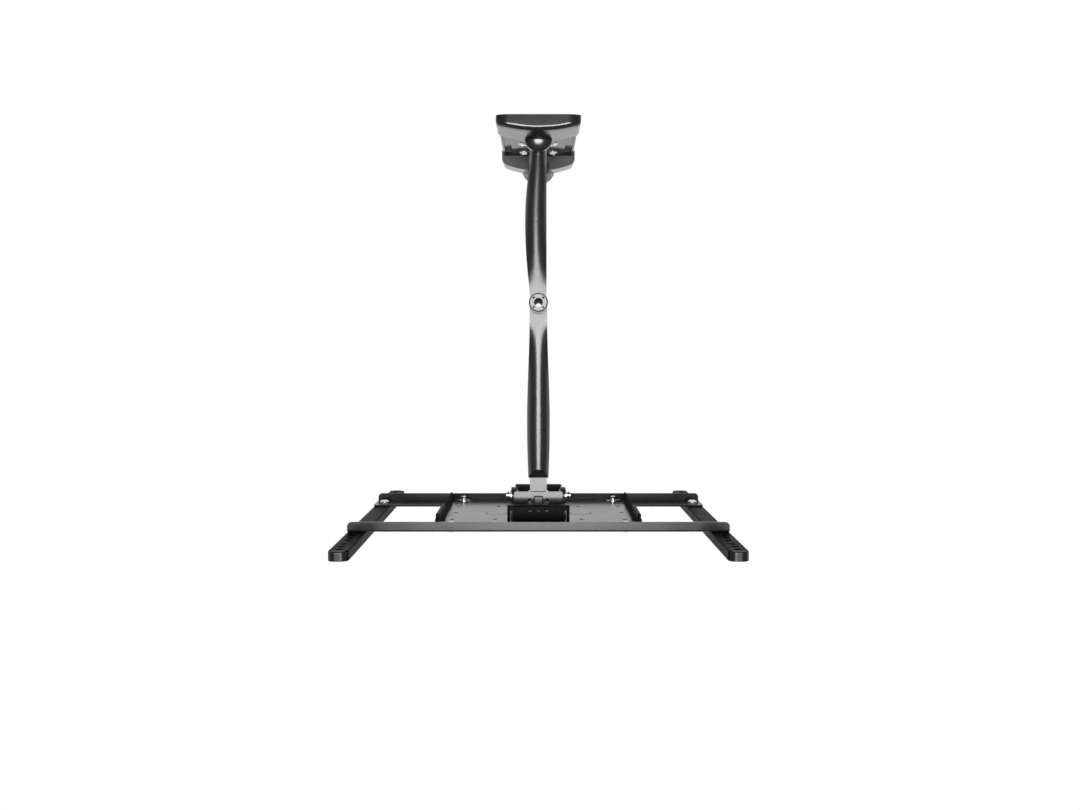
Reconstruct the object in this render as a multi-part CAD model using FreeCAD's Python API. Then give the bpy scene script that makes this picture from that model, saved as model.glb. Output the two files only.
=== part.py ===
import FreeCAD, Part
import math
import os
from FreeCAD import Vector

# Wall arm for a flat screen, fully extended.
# Millimetres. The wall is the plane Y = 0, the screen is towards -Y, +Z is up.
# Z = 0 is the middle height of the arms and of the screen plate.

# Fits
RUN_FIT = 0.05           # radial clearance of a shaft that turns in its bush
HOLE_FIT = 0.1           # radial clearance of a screw in its hole
SIDE_GAP = 0.3           # gap between faces that move past each other

# Pivot stations along the extended arm
SHOULDER_OUT = 20.0      # wall to shoulder axis
INNER_REACH = 179.0      # shoulder axis to elbow axis
OUTER_REACH = 234.0      # elbow axis to swivel axis
TILT_BEHIND = 5.0        # tilt axis lies this much nearer the wall than the swivel axis
PLATE_AHEAD = 16.1       # swivel axis to the back of the screen plate

# Wall plate and shoulder bracket
WALL_SHEET = 2.5
WALL_TOP = 107.7
WALL_BOTTOM = -123.7
WALL_HALF = 43.9
WALL_FLANGE = 6.0
LAG_R = 4.25
LAG_TOP = 90.0
LAG_PITCH = 98.5
LAG_ACCESS_R = 10.0
BRACKET_SHEET = 3.0
BRACKET_HALF = 33.0
BRACKET_LIP_Z = -87.0    # lower end of the wide part of the web
BRACKET_EDGE_ROUND = 1.2
EAR_SHEET = 4.0
UPPER_EAR_Z = 55.0       # underside of the upper ear
LOWER_EAR_Z = -127.0     # top of the lower ear
UPPER_EAR_HALF = 12.0
LOWER_EAR_HALF = 22.0
UPPER_EAR_REACH = 27.5
LOWER_EAR_REACH = 37.6
BRACKET_CORNER = 8.0
SCREW_X = 17.5
SCREW_TOP = 37.0
SCREW_PITCH = 56.0
SCREW_R = 3.0
SCREW_HEAD_R = 6.5
SCREW_HEAD_H = 3.0

# Covers
COVER_HALF = 46.25
COVER_WALL = 2.0
TOP_COVER_TOP = 115.0
TOP_COVER_SIDE = 10.5    # depth from the wall at the sides
TOP_COVER_BOW = 17.0     # depth from the wall at the middle
TOP_COVER_ROUND = 5.0
COVER_EDGE_ROUND = 6.0
BROW_WIDE = 14.0         # the top of the cover curves down over this width at each end
BROW_DROP = 5.0
GROOVE_Z = 106.0
GROOVE_WIDE = 0.9
GROOVE_DEEP = 0.7
NOSE_HALF = 15.6
NOSE_REACH = 30.0
NOSE_HEIGHT = 11.5
NOSE_RISE = 4.4          # rise of the crown above the rim
NOSE_EDGE = 1.2
NOSE_WALL = 1.5
LOW_COVER_TOP = -95.0
LOW_COVER_BOTTOM = -126.0
LOW_COVER_SIDE = 15.6
LOW_COVER_BOW = 25.0
LOW_COVER_ROUND = 9.0    # front corners seen from above
LOW_COVER_NOTCH_R = 13.0

# Shoulder pivot
SHOULDER_BOLT_R = 5.0
SHOULDER_HEAD_R = 6.5
SHOULDER_HEAD_H = 4.0
HEAD_ROUND = 1.5         # rounding of turned heads
SHOULDER_NUT_FLATS = 16.0
SHOULDER_NUT_H = 8.0
SHOULDER_WASHER_R = 10.0
WASHER_H = 1.5
BARREL_R = 10.0
SHOULDER_BUSH_R = 6.5
SHOULDER_BUSH_LENGTH = 16.0
SHOULDER_BUSH_FLANGE_R = 9.4
BUSH_FLANGE_H = 1.5

# Inner arm
INNER_RIGHT = 9.3        # the straight side
INNER_BULGE = 15.2       # widest reach of the bowed side
INNER_ROOT_LEFT = 9.6
INNER_TOP = 53.0         # height of the crest above mid height
INNER_DOME = 7.0         # rise of the crest above the sides
FORK_LENGTH = 60.0       # elbow axis back to the bottom of the fork
FORK_CORNER = 14.0
PRONG_R = 9.3
SPOT_FACE = 0.4          # depth of the flat that the elbow washers lie on
SPOT_FACE_R = 11.8
FLAT_RISE = 0.2          # rise of the crest where an arm is all but flat
CROWN_STEPS = 4          # points of the crest's arc on each side of the middle
# share of the reach, reach of the bowed side, rise of the crest
INNER_STATIONS = [
    (0.00, INNER_ROOT_LEFT, INNER_DOME),
    (0.14, INNER_ROOT_LEFT + 1.3, INNER_DOME),
    (0.29, INNER_BULGE - 1.6, INNER_DOME),
    (0.47, INNER_BULGE, INNER_DOME),
    (0.60, INNER_BULGE - 0.4, 0.83 * INNER_DOME),
    (0.67, INNER_BULGE - 1.0, 0.68 * INNER_DOME),
    (0.75, PRONG_R + 3.9, 0.42 * INNER_DOME),
    (0.83, PRONG_R + 2.6, 0.16 * INNER_DOME),
    (0.90, PRONG_R + 1.3, 0.05 * INNER_DOME),
    (1.00, PRONG_R, FLAT_RISE),
]

# Elbow pivot
KNUCKLE_HALF = 28.5
KNUCKLE_R = 10.3
SLEEVE_R = 7.0
SLEEVE_BORE_R = 5.5
SLEEVE_END_BORE_R = 3.75
SLEEVE_CONE = 16.0       # the bore narrows over this length
SLEEVE_HEAD_R = 10.5
SLEEVE_HEAD_H = 5.0
ELBOW_BUSH_R = 8.5
ELBOW_BUSH_LENGTH = 14.0
ELBOW_WASHER_R = 11.2
ELBOW_WASHER_H = 1.0
RING_NUT_R = 10.7
RING_NUT_H = 6.0
RING_NUT_LIP = 2.0
RING_NUT_ROUND = 0.8
RING_NUT_BORE_R = 5.05
SPANNER_HOLE_R = 1.2
SPANNER_POINT = 1.6      # length of the drill point
SPANNER_PCD = 15.0
SPANNER_DEPTH = 3.0

# Outer arm
OUTER_HALF = 13.3        # widest half width
OUTER_TOP = 39.5         # height of the crest
OUTER_DOME = 9.5
OUTER_NECK = 13.0        # elbow axis to the step where the arm rises to its full height
# share of the length from the step to the foot of the ramp, half width, crest, rise of the crest
OUTER_STATIONS = [
    (0.00, KNUCKLE_R, OUTER_TOP - 1.6, FLAT_RISE),
    (0.06, KNUCKLE_R, OUTER_TOP - 1.4, 0.06 * OUTER_DOME),
    (0.14, KNUCKLE_R + 0.2, OUTER_TOP - 1.1, 0.22 * OUTER_DOME),
    (0.21, KNUCKLE_R + 0.6, OUTER_TOP - 0.9, 0.36 * OUTER_DOME),
    (0.28, KNUCKLE_R + 1.1, OUTER_TOP - 0.6, 0.52 * OUTER_DOME),
    (0.39, OUTER_HALF - 1.1, OUTER_TOP - 0.3, 0.80 * OUTER_DOME),
    (0.50, OUTER_HALF - 0.4, OUTER_TOP - 0.1, 0.96 * OUTER_DOME),
    (0.60, OUTER_HALF, OUTER_TOP, OUTER_DOME),
    (0.70, OUTER_HALF, OUTER_TOP, OUTER_DOME),
    (0.80, OUTER_HALF - 0.2, OUTER_TOP, OUTER_DOME),
    (0.90, OUTER_HALF - 0.7, OUTER_TOP, OUTER_DOME),
    (1.00, OUTER_HALF - 1.4, OUTER_TOP, OUTER_DOME),
]
RAMP_SCOOP = 0.9         # hollow of the ramp below its straight line
RAMP_START = 40.5        # from the swivel axis back to the top of the ramp
RAMP_END = 30.0          # from the swivel axis back to the foot of the ramp
TONGUE_SHEET = 8.5
TONGUE_ROOT_HALF = 10.6
TONGUE_R = 9.0
TONGUE_SLOT = 46.0       # from the swivel axis back to the bottom of the slot
TONGUE_SLOT_CORNER = 12.0
SWIVEL_BUSH_R = 5.5
SWIVEL_BUSH_FLANGE_R = 8.5
SWIVEL_FLANGE_H = 1.2

# Swivel bracket and its bolt
HEAD_INNER = 33.0        # mid height to the inside of the top and bottom plates
HEAD_SHEET = 3.5
HEAD_HALF = 28.6
HEAD_WALL_SIDE = 14.0    # swivel axis to the edge towards the wall
HEAD_SCREEN_SIDE = 8.0   # swivel axis to the edge towards the screen
HEAD_CORNER = 2.0
CHEEK_SHEET = 2.5
CHEEK_STRIP = 5.0
CHEEK_LOBE_R = 10.0
PEEP_X = 10.5
PEEP_WIDE = 2.8
PEEP_LONG = 3.8
PEEP_BACK = 4.2          # swivel axis to the middle of the square peep holes
SWIVEL_BOLT_R = 4.0
SWIVEL_HEAD_WIDE = 10.4
SWIVEL_HEAD_BACK = 9.2   # swivel axis to the wall side of the keyed head
SWIVEL_HEAD_AHEAD = 6.0
SWIVEL_HEAD_H = 3.0
SWIVEL_HEAD_ROUND = 1.0
SWIVEL_WASHER_R = 8.0
SWIVEL_NUT_FLATS = 13.0
SWIVEL_NUT_H = 5.0

# Tilt pivot and bracket
TILT_BOLT_R = 4.0
TILT_HEAD_R = 7.5
TILT_HEAD_H = 3.1
TILT_DISC_R = 10.0
TILT_DISC_H = 0.8
TILT_WASHER_H = 1.2
TILT_NUT_FLATS = 13.0
TILT_NUT_H = 4.0
TILT_BOLT_END = 1.2
EAR_LOBE_R = 10.0
TILT_SHEET = 2.0
TILT_WEB_SHEET = 2.5
TILT_WEB_BOTTOM = -14.0
TILT_WEB_TOP = 64.0
TILT_STRIP = 8.0         # depth of the ear beside the web
TILT_TAB_WIDE = 10.0
ROOF_TOP = 70.0
ROOF_SHEET = 2.5
ROOF_HALF = 35.5
ROOF_DEPTH = 19.0
ROOF_LIP = 6.0
ROOF_ROUND = 2.0
ROOF_HOLE_PITCH = 9.6
ROOF_HOLE_WIDE = 3.6
ROOF_HOLE_LONG = 2.2
ROOF_HOLE_BACK = 13.0    # plate back to the row of roof holes
RIVET_R = 2.5
RIVET_HEAD_R = 4.5
RIVET_HEAD_H = 1.8
RIVET_X = 20.0
RIVET_LOW = -5.0
RIVET_HIGH = 54.0

# Screen plate
PLATE_SHEET = 1.5
PLATE_INNER_HALF = 112.5
PLATE_HALF_HIGH = 112.7
PLATE_FLANGE = 10.0
PLATE_FLANGE_CORNER = 6.0
VESA_HOLE_R = 2.5
VESA_PITCH = 100.0
SLIT_X = 50.0
SLIT_WIDE = 27.0
SLIT_HIGH = 17.0
SLIT_CUT = 1.0
CLIP_BOTTOM = 12.0
CLIP_TOP = 88.0
CLIP_REACH = 2.5
CLIP_GRIP = 3.0
CLIP_WALL = 1.3

# Rails and bars
RAIL_LENGTH = 420.0
RAIL_SHEET = 2.0
RAIL_OUTER = 115.0       # mid height to the outside of the flange
RAIL_WEB = 45.0
RAIL_FLANGE = 11.1
RAIL_CORNER = 5.0
BAR_INSET = 10.0         # middle of the bar to the end of the rail
BAR_WIDE = 20.8
BAR_LENGTH = 450.0
BAR_DEEP = 10.4
BAR_SHEET = 2.0
BAR_END_ROUND = 8.0
BAR_EDGE_ROUND = 2.0
BAR_HOLE_R = 3.75
BAR_HOLE_PITCH = 15.0
BAR_HOLE_OUTER_INSET = 25.0   # bar end to the middle of the outer row of three
BAR_HOLE_INNER_INSET = 75.0

# Screws of the screen frame
FRAME_BOLT_R = 3.0
FRAME_HEAD_R = 6.0
FRAME_HEAD_H = 3.0
PLATE_WASHER_R = 9.0
BAR_WASHER_R = 7.0
FRAME_WASHER_H = 1.0
FRAME_NUT_FLATS = 10.0
FRAME_NUT_H = 4.0
FRAME_BOLT_END = 0.8
PLATE_BOLT_INSET = 15.5  # plate's flange to the bolt
PLATE_BOLT_Z = 101.0
BAR_BOLT_Z = 100.0

# Worked out stations
BAR_X = 0.5 * RAIL_LENGTH - BAR_INSET
PLATE_BOLT_X = PLATE_INNER_HALF - PLATE_BOLT_INSET
SHOULDER_Y = -SHOULDER_OUT
ELBOW_Y = SHOULDER_Y - INNER_REACH
SWIVEL_Y = ELBOW_Y - OUTER_REACH
TILT_Y = SWIVEL_Y + TILT_BEHIND
PLATE_BACK = SWIVEL_Y - PLATE_AHEAD
PLATE_FRONT = PLATE_BACK - PLATE_SHEET
RAIL_FRONT = PLATE_FRONT - RAIL_SHEET
BAR_FRONT = RAIL_FRONT - BAR_DEEP
BRACKET_FACE = -(WALL_SHEET + BRACKET_SHEET)
BARREL_TOP = UPPER_EAR_Z - SIDE_GAP - BUSH_FLANGE_H
BARREL_BOTTOM = LOWER_EAR_Z + SIDE_GAP + BUSH_FLANGE_H
ELBOW_SEAT = INNER_TOP - SPOT_FACE
FORK_HALF = KNUCKLE_HALF + BUSH_FLANGE_H + SIDE_GAP
TONGUE_TOP = HEAD_INNER - SIDE_GAP - SWIVEL_FLANGE_H
TONGUE_UNDER = TONGUE_TOP - TONGUE_SHEET
HEAD_OUTER = HEAD_INNER + HEAD_SHEET
CHEEK_IN = HEAD_HALF - CHEEK_SHEET
DISC_IN = HEAD_HALF + SIDE_GAP
EAR_IN = DISC_IN + TILT_DISC_H
EAR_OUT = EAR_IN + TILT_SHEET
TILT_WASHER_IN = EAR_OUT + SIDE_GAP
TILT_NUT_IN = TILT_WASHER_IN + TILT_WASHER_H
HEX_FACE = 0.96          # round face of a nut by its width across flats
HEX_BEVEL = 1.73         # run of a nut's chamfer by its depth
BIG = 1000.0             # longer than any piece, for cuts that go right through
TINY = 0.01              # tolerance for picking edges by their place


def block(x0, x1, y0, y1, z0, z1):
    """Box between two corners."""
    return Part.makeBox(x1 - x0, y1 - y0, z1 - z0, Vector(x0, y0, z0))


def post(x, y, z0, z1, r):
    """Upright cylinder."""
    return Part.makeCylinder(r, z1 - z0, Vector(x, y, z0), Vector(0, 0, 1))


def rod_x(y, z, x0, x1, r):
    """Cylinder along X."""
    return Part.makeCylinder(r, x1 - x0, Vector(x0, y, z), Vector(1, 0, 0))


def rod_y(x, z, y0, y1, r):
    """Cylinder along Y."""
    return Part.makeCylinder(r, y1 - y0, Vector(x, y0, z), Vector(0, 1, 0))


def hexagon(centre, along, flats, height):
    """Six-sided nut blank that starts at centre and runs along a row axis; its far face is chamfered."""
    corner = flats / math.sqrt(3.0)
    side = Vector(1, 0, 0) if abs(along.x) < 0.5 else Vector(0, 0, 1)
    up = along.cross(side)
    points = []
    for k in range(7):
        turn = math.radians(60.0 * k)
        points.append(centre + side * (corner * math.cos(turn)) + up * (corner * math.sin(turn)))
    prism = Part.Face(Part.makePolygon(points)).extrude(along * height)
    face_r = 0.5 * flats * HEX_FACE
    bevel = Part.makeCone(face_r + height * HEX_BEVEL, face_r, height, centre, along)
    return prism.common(bevel)


def dome(centre, along, radius, height):
    """Low round head: a slice of a ball standing on a flat."""
    ball = (radius * radius + height * height) / (2.0 * height)
    head = Part.makeSphere(ball, centre + along * (height - ball))
    keep = Part.makeCylinder(radius, height, centre, along)
    return head.common(keep)


def round_edges(shape, radius, wanted):
    """Fillet the edges that the test picks."""
    return shape.makeFillet(radius, [e for e in shape.Edges if wanted(e)])


def runs_along(edge, axis):
    """True for a straight edge parallel to a row axis."""
    if edge.Curve.TypeId != "Part::GeomLine":
        return False
    return abs(abs(edge.Curve.Direction.dot(axis)) - 1.0) < 1e-6


def mirror_z(shape):
    return shape.mirror(Vector(0, 0, 0), Vector(0, 0, 1))


def mirror_x(shape):
    return shape.mirror(Vector(0, 0, 0), Vector(1, 0, 0))


def clean(shape):
    return shape.removeSplitter()


X_AXIS = Vector(1, 0, 0)
Y_AXIS = Vector(0, 1, 0)
Z_AXIS = Vector(0, 0, 1)


def lag_heights():
    return [LAG_TOP - k * LAG_PITCH for k in range(3)]


def screw_places():
    return [(side * SCREW_X, SCREW_TOP - k * SCREW_PITCH) for side in (-1, 1) for k in range(3)]


# Wall plate and shoulder bracket

def wall_plate():
    plate = block(-WALL_HALF, WALL_HALF, -WALL_FLANGE, 0, WALL_BOTTOM, WALL_TOP)
    plate = round_edges(plate, WALL_SHEET, lambda e: runs_along(e, Z_AXIS) and e.CenterOfMass.y > -TINY)
    inside = WALL_HALF - WALL_SHEET
    plate = plate.cut(block(-inside, inside, -BIG, -WALL_SHEET, -BIG, BIG))
    for z in lag_heights():
        plate = plate.cut(rod_y(0, z, -BIG, BIG, LAG_R))
    for x, z in screw_places():
        plate = plate.cut(rod_y(x, z, -BIG, BIG, SCREW_R + HOLE_FIT))
    return plate


def ear(half, reach, z0):
    """Half-round shelf that the pivot bolt goes through."""
    shoulder = -(reach - half)
    start = Vector(-half, -WALL_SHEET, z0)
    left = Vector(-half, shoulder, z0)
    tip = Vector(0, -reach, z0)
    right = Vector(half, shoulder, z0)
    end = Vector(half, -WALL_SHEET, z0)
    edges = [
        Part.makeLine(start, left),
        Part.Arc(left, tip, right).toShape(),
        Part.makeLine(right, end),
        Part.makeLine(end, start),
    ]
    return Part.Face(Part.Wire(edges)).extrude(Vector(0, 0, EAR_SHEET))


def shoulder_bracket():
    low = LOWER_EAR_Z - EAR_SHEET
    high = UPPER_EAR_Z + EAR_SHEET
    web = block(-BRACKET_HALF, BRACKET_HALF, BRACKET_FACE, -WALL_SHEET, BRACKET_LIP_Z, high)
    web = round_edges(web, BRACKET_CORNER, lambda e: runs_along(e, Y_AXIS))
    web = round_edges(web, BRACKET_EDGE_ROUND, lambda e: e.BoundBox.YMax < BRACKET_FACE + TINY)
    foot_top = BRACKET_LIP_Z + BRACKET_CORNER
    foot = block(-LOWER_EAR_HALF, LOWER_EAR_HALF, BRACKET_FACE, -WALL_SHEET, low, foot_top)
    upper = ear(UPPER_EAR_HALF, UPPER_EAR_REACH, UPPER_EAR_Z)
    lower = ear(LOWER_EAR_HALF, LOWER_EAR_REACH, low)
    bracket = clean(web.fuse([foot, upper, lower]))
    bracket = bracket.cut(post(0, SHOULDER_Y, -BIG, BIG, SHOULDER_BOLT_R + HOLE_FIT))
    for z in lag_heights()[1:]:
        bracket = bracket.cut(rod_y(0, z, -BIG, BIG, LAG_ACCESS_R))
    for x, z in screw_places():
        bracket = bracket.cut(rod_y(x, z, -BIG, BIG, SCREW_R + HOLE_FIT))
    return bracket


def bracket_screws():
    screws = []
    for x, z in screw_places():
        head = dome(Vector(x, BRACKET_FACE, z), Vector(0, -1, 0), SCREW_HEAD_R, SCREW_HEAD_H)
        screws.append(head.fuse(rod_y(x, z, BRACKET_FACE, -SIDE_GAP, SCREW_R)))
    return Part.makeCompound(screws)


# Covers

def bowed_prism(half, side, bow, z0, z1):
    """Upright prism with a flat back on the wall and a bowed front."""
    back_left = Vector(-half, 0, z0)
    left = Vector(-half, -side, z0)
    middle = Vector(0, -bow, z0)
    right = Vector(half, -side, z0)
    back_right = Vector(half, 0, z0)
    edges = [
        Part.makeLine(back_left, left),
        Part.Arc(left, middle, right).toShape(),
        Part.makeLine(right, back_right),
        Part.makeLine(back_right, back_left),
    ]
    return Part.Face(Part.Wire(edges)).extrude(Vector(0, 0, z1 - z0))


def nose(half, reach, height):
    """Low round crown on a short wall that stands on the cover's lower edge."""
    y = -(reach - half)
    radius = (half * half + NOSE_RISE * NOSE_RISE) / (2.0 * NOSE_RISE)
    bend = 0.5 * math.asin(half / radius)
    crown = UPPER_EAR_Z + height
    top = Vector(0, y, crown)
    middle = Vector(radius * math.sin(bend), y, crown - radius * (1.0 - math.cos(bend)))
    rim = Vector(half, y, crown - NOSE_RISE)
    foot = Vector(half, y, UPPER_EAR_Z)
    centre = Vector(0, y, UPPER_EAR_Z)
    edges = [
        Part.Arc(top, middle, rim).toShape(),
        Part.makeLine(rim, foot),
        Part.makeLine(foot, centre),
        Part.makeLine(centre, top),
    ]
    cap = Part.Face(Part.Wire(edges)).revolve(centre, Z_AXIS, 360)
    return round_edges(cap, NOSE_EDGE, lambda e: abs(e.BoundBox.ZMin - rim.z) < TINY and e.BoundBox.ZLength < TINY)


def cover_outline():
    """The top cover seen from the front, run through its depth: the top curves down at both ends."""
    flat = COVER_HALF - BROW_WIDE
    low = TOP_COVER_TOP - BROW_DROP
    foot_left = Vector(-COVER_HALF, 0, UPPER_EAR_Z)
    foot_right = Vector(COVER_HALF, 0, UPPER_EAR_Z)
    end_left = Vector(-COVER_HALF, 0, low)
    end_right = Vector(COVER_HALF, 0, low)
    top_left = Vector(-flat, 0, TOP_COVER_TOP)
    top_right = Vector(flat, 0, TOP_COVER_TOP)
    reach = (BROW_WIDE * BROW_WIDE + BROW_DROP * BROW_DROP) / (2.0 * BROW_DROP)
    bend = 0.5 * math.asin(BROW_WIDE / reach)
    out = flat + reach * math.sin(bend)
    down = TOP_COVER_TOP - reach * (1.0 - math.cos(bend))
    edges = [
        Part.makeLine(foot_left, end_left),
        Part.Arc(end_left, Vector(-out, 0, down), top_left).toShape(),
        Part.makeLine(top_left, top_right),
        Part.Arc(top_right, Vector(out, 0, down), end_right).toShape(),
        Part.makeLine(end_right, foot_right),
        Part.makeLine(foot_right, foot_left),
    ]
    return Part.Face(Part.Wire(edges)).extrude(Vector(0, -2 * TOP_COVER_BOW, 0))


def cover_groove():
    """Band round the cover that is left when its inside is taken out of its outside."""
    low = GROOVE_Z - 0.5 * GROOVE_WIDE
    high = GROOVE_Z + 0.5 * GROOVE_WIDE
    outside = block(-BIG, BIG, -BIG, BIG, low, high)
    inside = bowed_prism(
        COVER_HALF - GROOVE_DEEP, TOP_COVER_SIDE - GROOVE_DEEP, TOP_COVER_BOW - GROOVE_DEEP, low, high)
    return outside.cut(inside)


def front_corner(edge):
    """True for an upright edge away from the wall."""
    return runs_along(edge, Z_AXIS) and edge.CenterOfMass.y < -TINY


def brow(edge):
    """True for an edge of the chain that runs round the top of the upper cover, but not along its back."""
    if edge.BoundBox.ZMin < TOP_COVER_TOP - BROW_DROP - TINY or edge.CenterOfMass.y > -TINY:
        return False
    return not runs_along(edge, Y_AXIS) or abs(edge.CenterOfMass.x) > COVER_HALF - TINY


def top_cover():
    shell = bowed_prism(COVER_HALF, TOP_COVER_SIDE, TOP_COVER_BOW, UPPER_EAR_Z, TOP_COVER_TOP)
    shell = round_edges(shell, COVER_EDGE_ROUND, front_corner)
    shell = shell.common(cover_outline())
    shell = round_edges(shell, TOP_COVER_ROUND, brow)
    shell = shell.cut(cover_groove())
    shell = shell.fuse(nose(NOSE_HALF, NOSE_REACH, NOSE_HEIGHT))
    inside = bowed_prism(
        COVER_HALF - COVER_WALL,
        TOP_COVER_SIDE - COVER_WALL,
        TOP_COVER_BOW - COVER_WALL,
        UPPER_EAR_Z - BIG,
        TOP_COVER_TOP - BROW_DROP - COVER_WALL,
    )
    hollow = nose(NOSE_HALF - NOSE_WALL, NOSE_REACH - NOSE_WALL, NOSE_HEIGHT - NOSE_WALL)
    cover = shell.cut(inside).cut(hollow)
    return cover.cut(block(-BIG, BIG, 0, BIG, -BIG, BIG))


def bottom_cover():
    shell = bowed_prism(COVER_HALF, LOW_COVER_SIDE, LOW_COVER_BOW, LOW_COVER_BOTTOM, LOW_COVER_TOP)
    shell = round_edges(shell, LOW_COVER_ROUND, front_corner)
    inside = bowed_prism(
        COVER_HALF - COVER_WALL,
        LOW_COVER_SIDE - COVER_WALL,
        LOW_COVER_BOW - COVER_WALL,
        LOW_COVER_BOTTOM - BIG,
        LOW_COVER_TOP - COVER_WALL,
    )
    inside = round_edges(inside, LOW_COVER_ROUND - COVER_WALL, front_corner)
    cover = shell.cut(inside)
    seat = WALL_HALF + SIDE_GAP
    cover = cover.cut(block(-seat, seat, -WALL_FLANGE - SIDE_GAP, BIG, -BIG, BIG))
    notch = post(0, SHOULDER_Y, -BIG, BIG, LOW_COVER_NOTCH_R)
    mouth = block(-LOW_COVER_NOTCH_R, LOW_COVER_NOTCH_R, -BIG, SHOULDER_Y, -BIG, BIG)
    return cover.cut(notch).cut(mouth)


# Shoulder pivot

def shoulder_bolt():
    seat = UPPER_EAR_Z + EAR_SHEET
    foot = LOWER_EAR_Z - EAR_SHEET - WASHER_H - SHOULDER_NUT_H
    shank = post(0, SHOULDER_Y, foot, seat, SHOULDER_BOLT_R)
    head = post(0, SHOULDER_Y, seat, seat + SHOULDER_HEAD_H, SHOULDER_HEAD_R)
    head = round_edges(head, HEAD_ROUND, lambda e: e.BoundBox.ZMin > seat + TINY)
    return clean(shank.fuse(head))


def shoulder_washer():
    top = LOWER_EAR_Z - EAR_SHEET
    ring = post(0, SHOULDER_Y, top - WASHER_H, top, SHOULDER_WASHER_R)
    return ring.cut(post(0, SHOULDER_Y, -BIG, BIG, SHOULDER_BOLT_R + HOLE_FIT))


def shoulder_nut():
    top = LOWER_EAR_Z - EAR_SHEET - WASHER_H
    nut = hexagon(Vector(0, SHOULDER_Y, top), Vector(0, 0, -1), SHOULDER_NUT_FLATS, SHOULDER_NUT_H)
    return nut.cut(post(0, SHOULDER_Y, -BIG, BIG, SHOULDER_BOLT_R))


def flanged_bush(y, seat, away, bore, outer, length, flange, flange_h):
    """Flanged bush on an upright axis: the flange lies outside the seat face."""
    tip = seat + away * flange_h
    tail = seat - away * length
    body = post(0, y, min(seat, tail), max(seat, tail), outer)
    rim = post(0, y, min(seat, tip), max(seat, tip), flange)
    return clean(body.fuse(rim)).cut(post(0, y, -BIG, BIG, bore))


def shoulder_bushes():
    bore = SHOULDER_BOLT_R + RUN_FIT
    sizes = (bore, SHOULDER_BUSH_R, SHOULDER_BUSH_LENGTH, SHOULDER_BUSH_FLANGE_R, BUSH_FLANGE_H)
    upper = flanged_bush(SHOULDER_Y, BARREL_TOP, 1, *sizes)
    lower = flanged_bush(SHOULDER_Y, BARREL_BOTTOM, -1, *sizes)
    return Part.makeCompound([upper, lower])


# Arms

def crown_points(y, left, right, side, crest):
    """Points of the arc from the left side over the crest to the right side."""
    middle = 0.5 * (left + right)
    half = 0.5 * (right - left)
    rise = crest - side
    radius = (half * half + rise * rise) / (2.0 * rise)
    sweep = math.asin(half / radius)
    points = []
    for k in range(-CROWN_STEPS, CROWN_STEPS + 1):
        turn = sweep * k / CROWN_STEPS
        points.append(Vector(middle + radius * math.sin(turn), y, crest - radius * (1.0 - math.cos(turn))))
    return points


def hull_section(y, left, right, side, crest):
    """Closed outline across the arm: upright sides, domed top and bottom."""
    over = crown_points(y, left, right, side, crest)
    under = [Vector(point.x, y, -point.z) for point in reversed(over)]
    top = Part.BSplineCurve()
    top.interpolate(over)
    bottom = Part.BSplineCurve()
    bottom.interpolate(under)
    edges = [
        Part.makeLine(under[-1], over[0]),
        top.toShape(),
        Part.makeLine(over[-1], under[0]),
        bottom.toShape(),
    ]
    return Part.Wire(edges)


def slot_through(y_bottom, half, corner):
    """Slot across the arm, open towards the screen, with a rounded bottom."""
    cut = block(-BIG, BIG, -BIG, y_bottom, -half, half)
    return round_edges(cut, corner, lambda e: runs_along(e, X_AXIS) and e.CenterOfMass.y > y_bottom - TINY)


def inner_arm():
    wires = []
    for share, left, rise in INNER_STATIONS:
        y = SHOULDER_Y - share * INNER_REACH
        wires.append(hull_section(y, -left, INNER_RIGHT, INNER_TOP - rise, INNER_TOP))
    hull = Part.makeLoft(wires, True, False)
    spot_face = post(0, ELBOW_Y, ELBOW_SEAT, BIG, SPOT_FACE_R)
    hull = hull.cut([spot_face, mirror_z(spot_face)])
    tip = post(0, ELBOW_Y, -ELBOW_SEAT, ELBOW_SEAT, PRONG_R)
    barrel = post(0, SHOULDER_Y, BARREL_BOTTOM, BARREL_TOP, BARREL_R)
    arm = hull.fuse([tip, barrel])
    arm = arm.cut(slot_through(ELBOW_Y + FORK_LENGTH, FORK_HALF, FORK_CORNER))
    arm = arm.cut(post(0, SHOULDER_Y, -BIG, BIG, SHOULDER_BUSH_R))
    return arm.cut(post(0, ELBOW_Y, -BIG, BIG, SLEEVE_R + HOLE_FIT))


def elbow_sleeve():
    foot = -ELBOW_SEAT - ELBOW_WASHER_H
    top = ELBOW_SEAT + ELBOW_WASHER_H + RING_NUT_H - RING_NUT_LIP
    tube = post(0, ELBOW_Y, foot - SLEEVE_HEAD_H, top, SLEEVE_R)
    head = post(0, ELBOW_Y, foot - SLEEVE_HEAD_H, foot, SLEEVE_HEAD_R)
    head = round_edges(head, HEAD_ROUND, lambda e: e.BoundBox.ZMax < foot - TINY)
    sleeve = clean(tube.fuse(head))
    cone = Part.makeCone(SLEEVE_END_BORE_R, SLEEVE_BORE_R, SLEEVE_CONE, Vector(0, ELBOW_Y, foot))
    sleeve = sleeve.cut(post(0, ELBOW_Y, foot + SLEEVE_CONE, BIG, SLEEVE_BORE_R)).cut(cone)
    return sleeve.cut(post(0, ELBOW_Y, -BIG, BIG, SLEEVE_END_BORE_R))


def elbow_washers():
    ring = post(0, ELBOW_Y, ELBOW_SEAT, ELBOW_SEAT + ELBOW_WASHER_H, ELBOW_WASHER_R)
    ring = ring.cut(post(0, ELBOW_Y, -BIG, BIG, SLEEVE_R + HOLE_FIT))
    return Part.makeCompound([ring, mirror_z(ring)])


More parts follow.
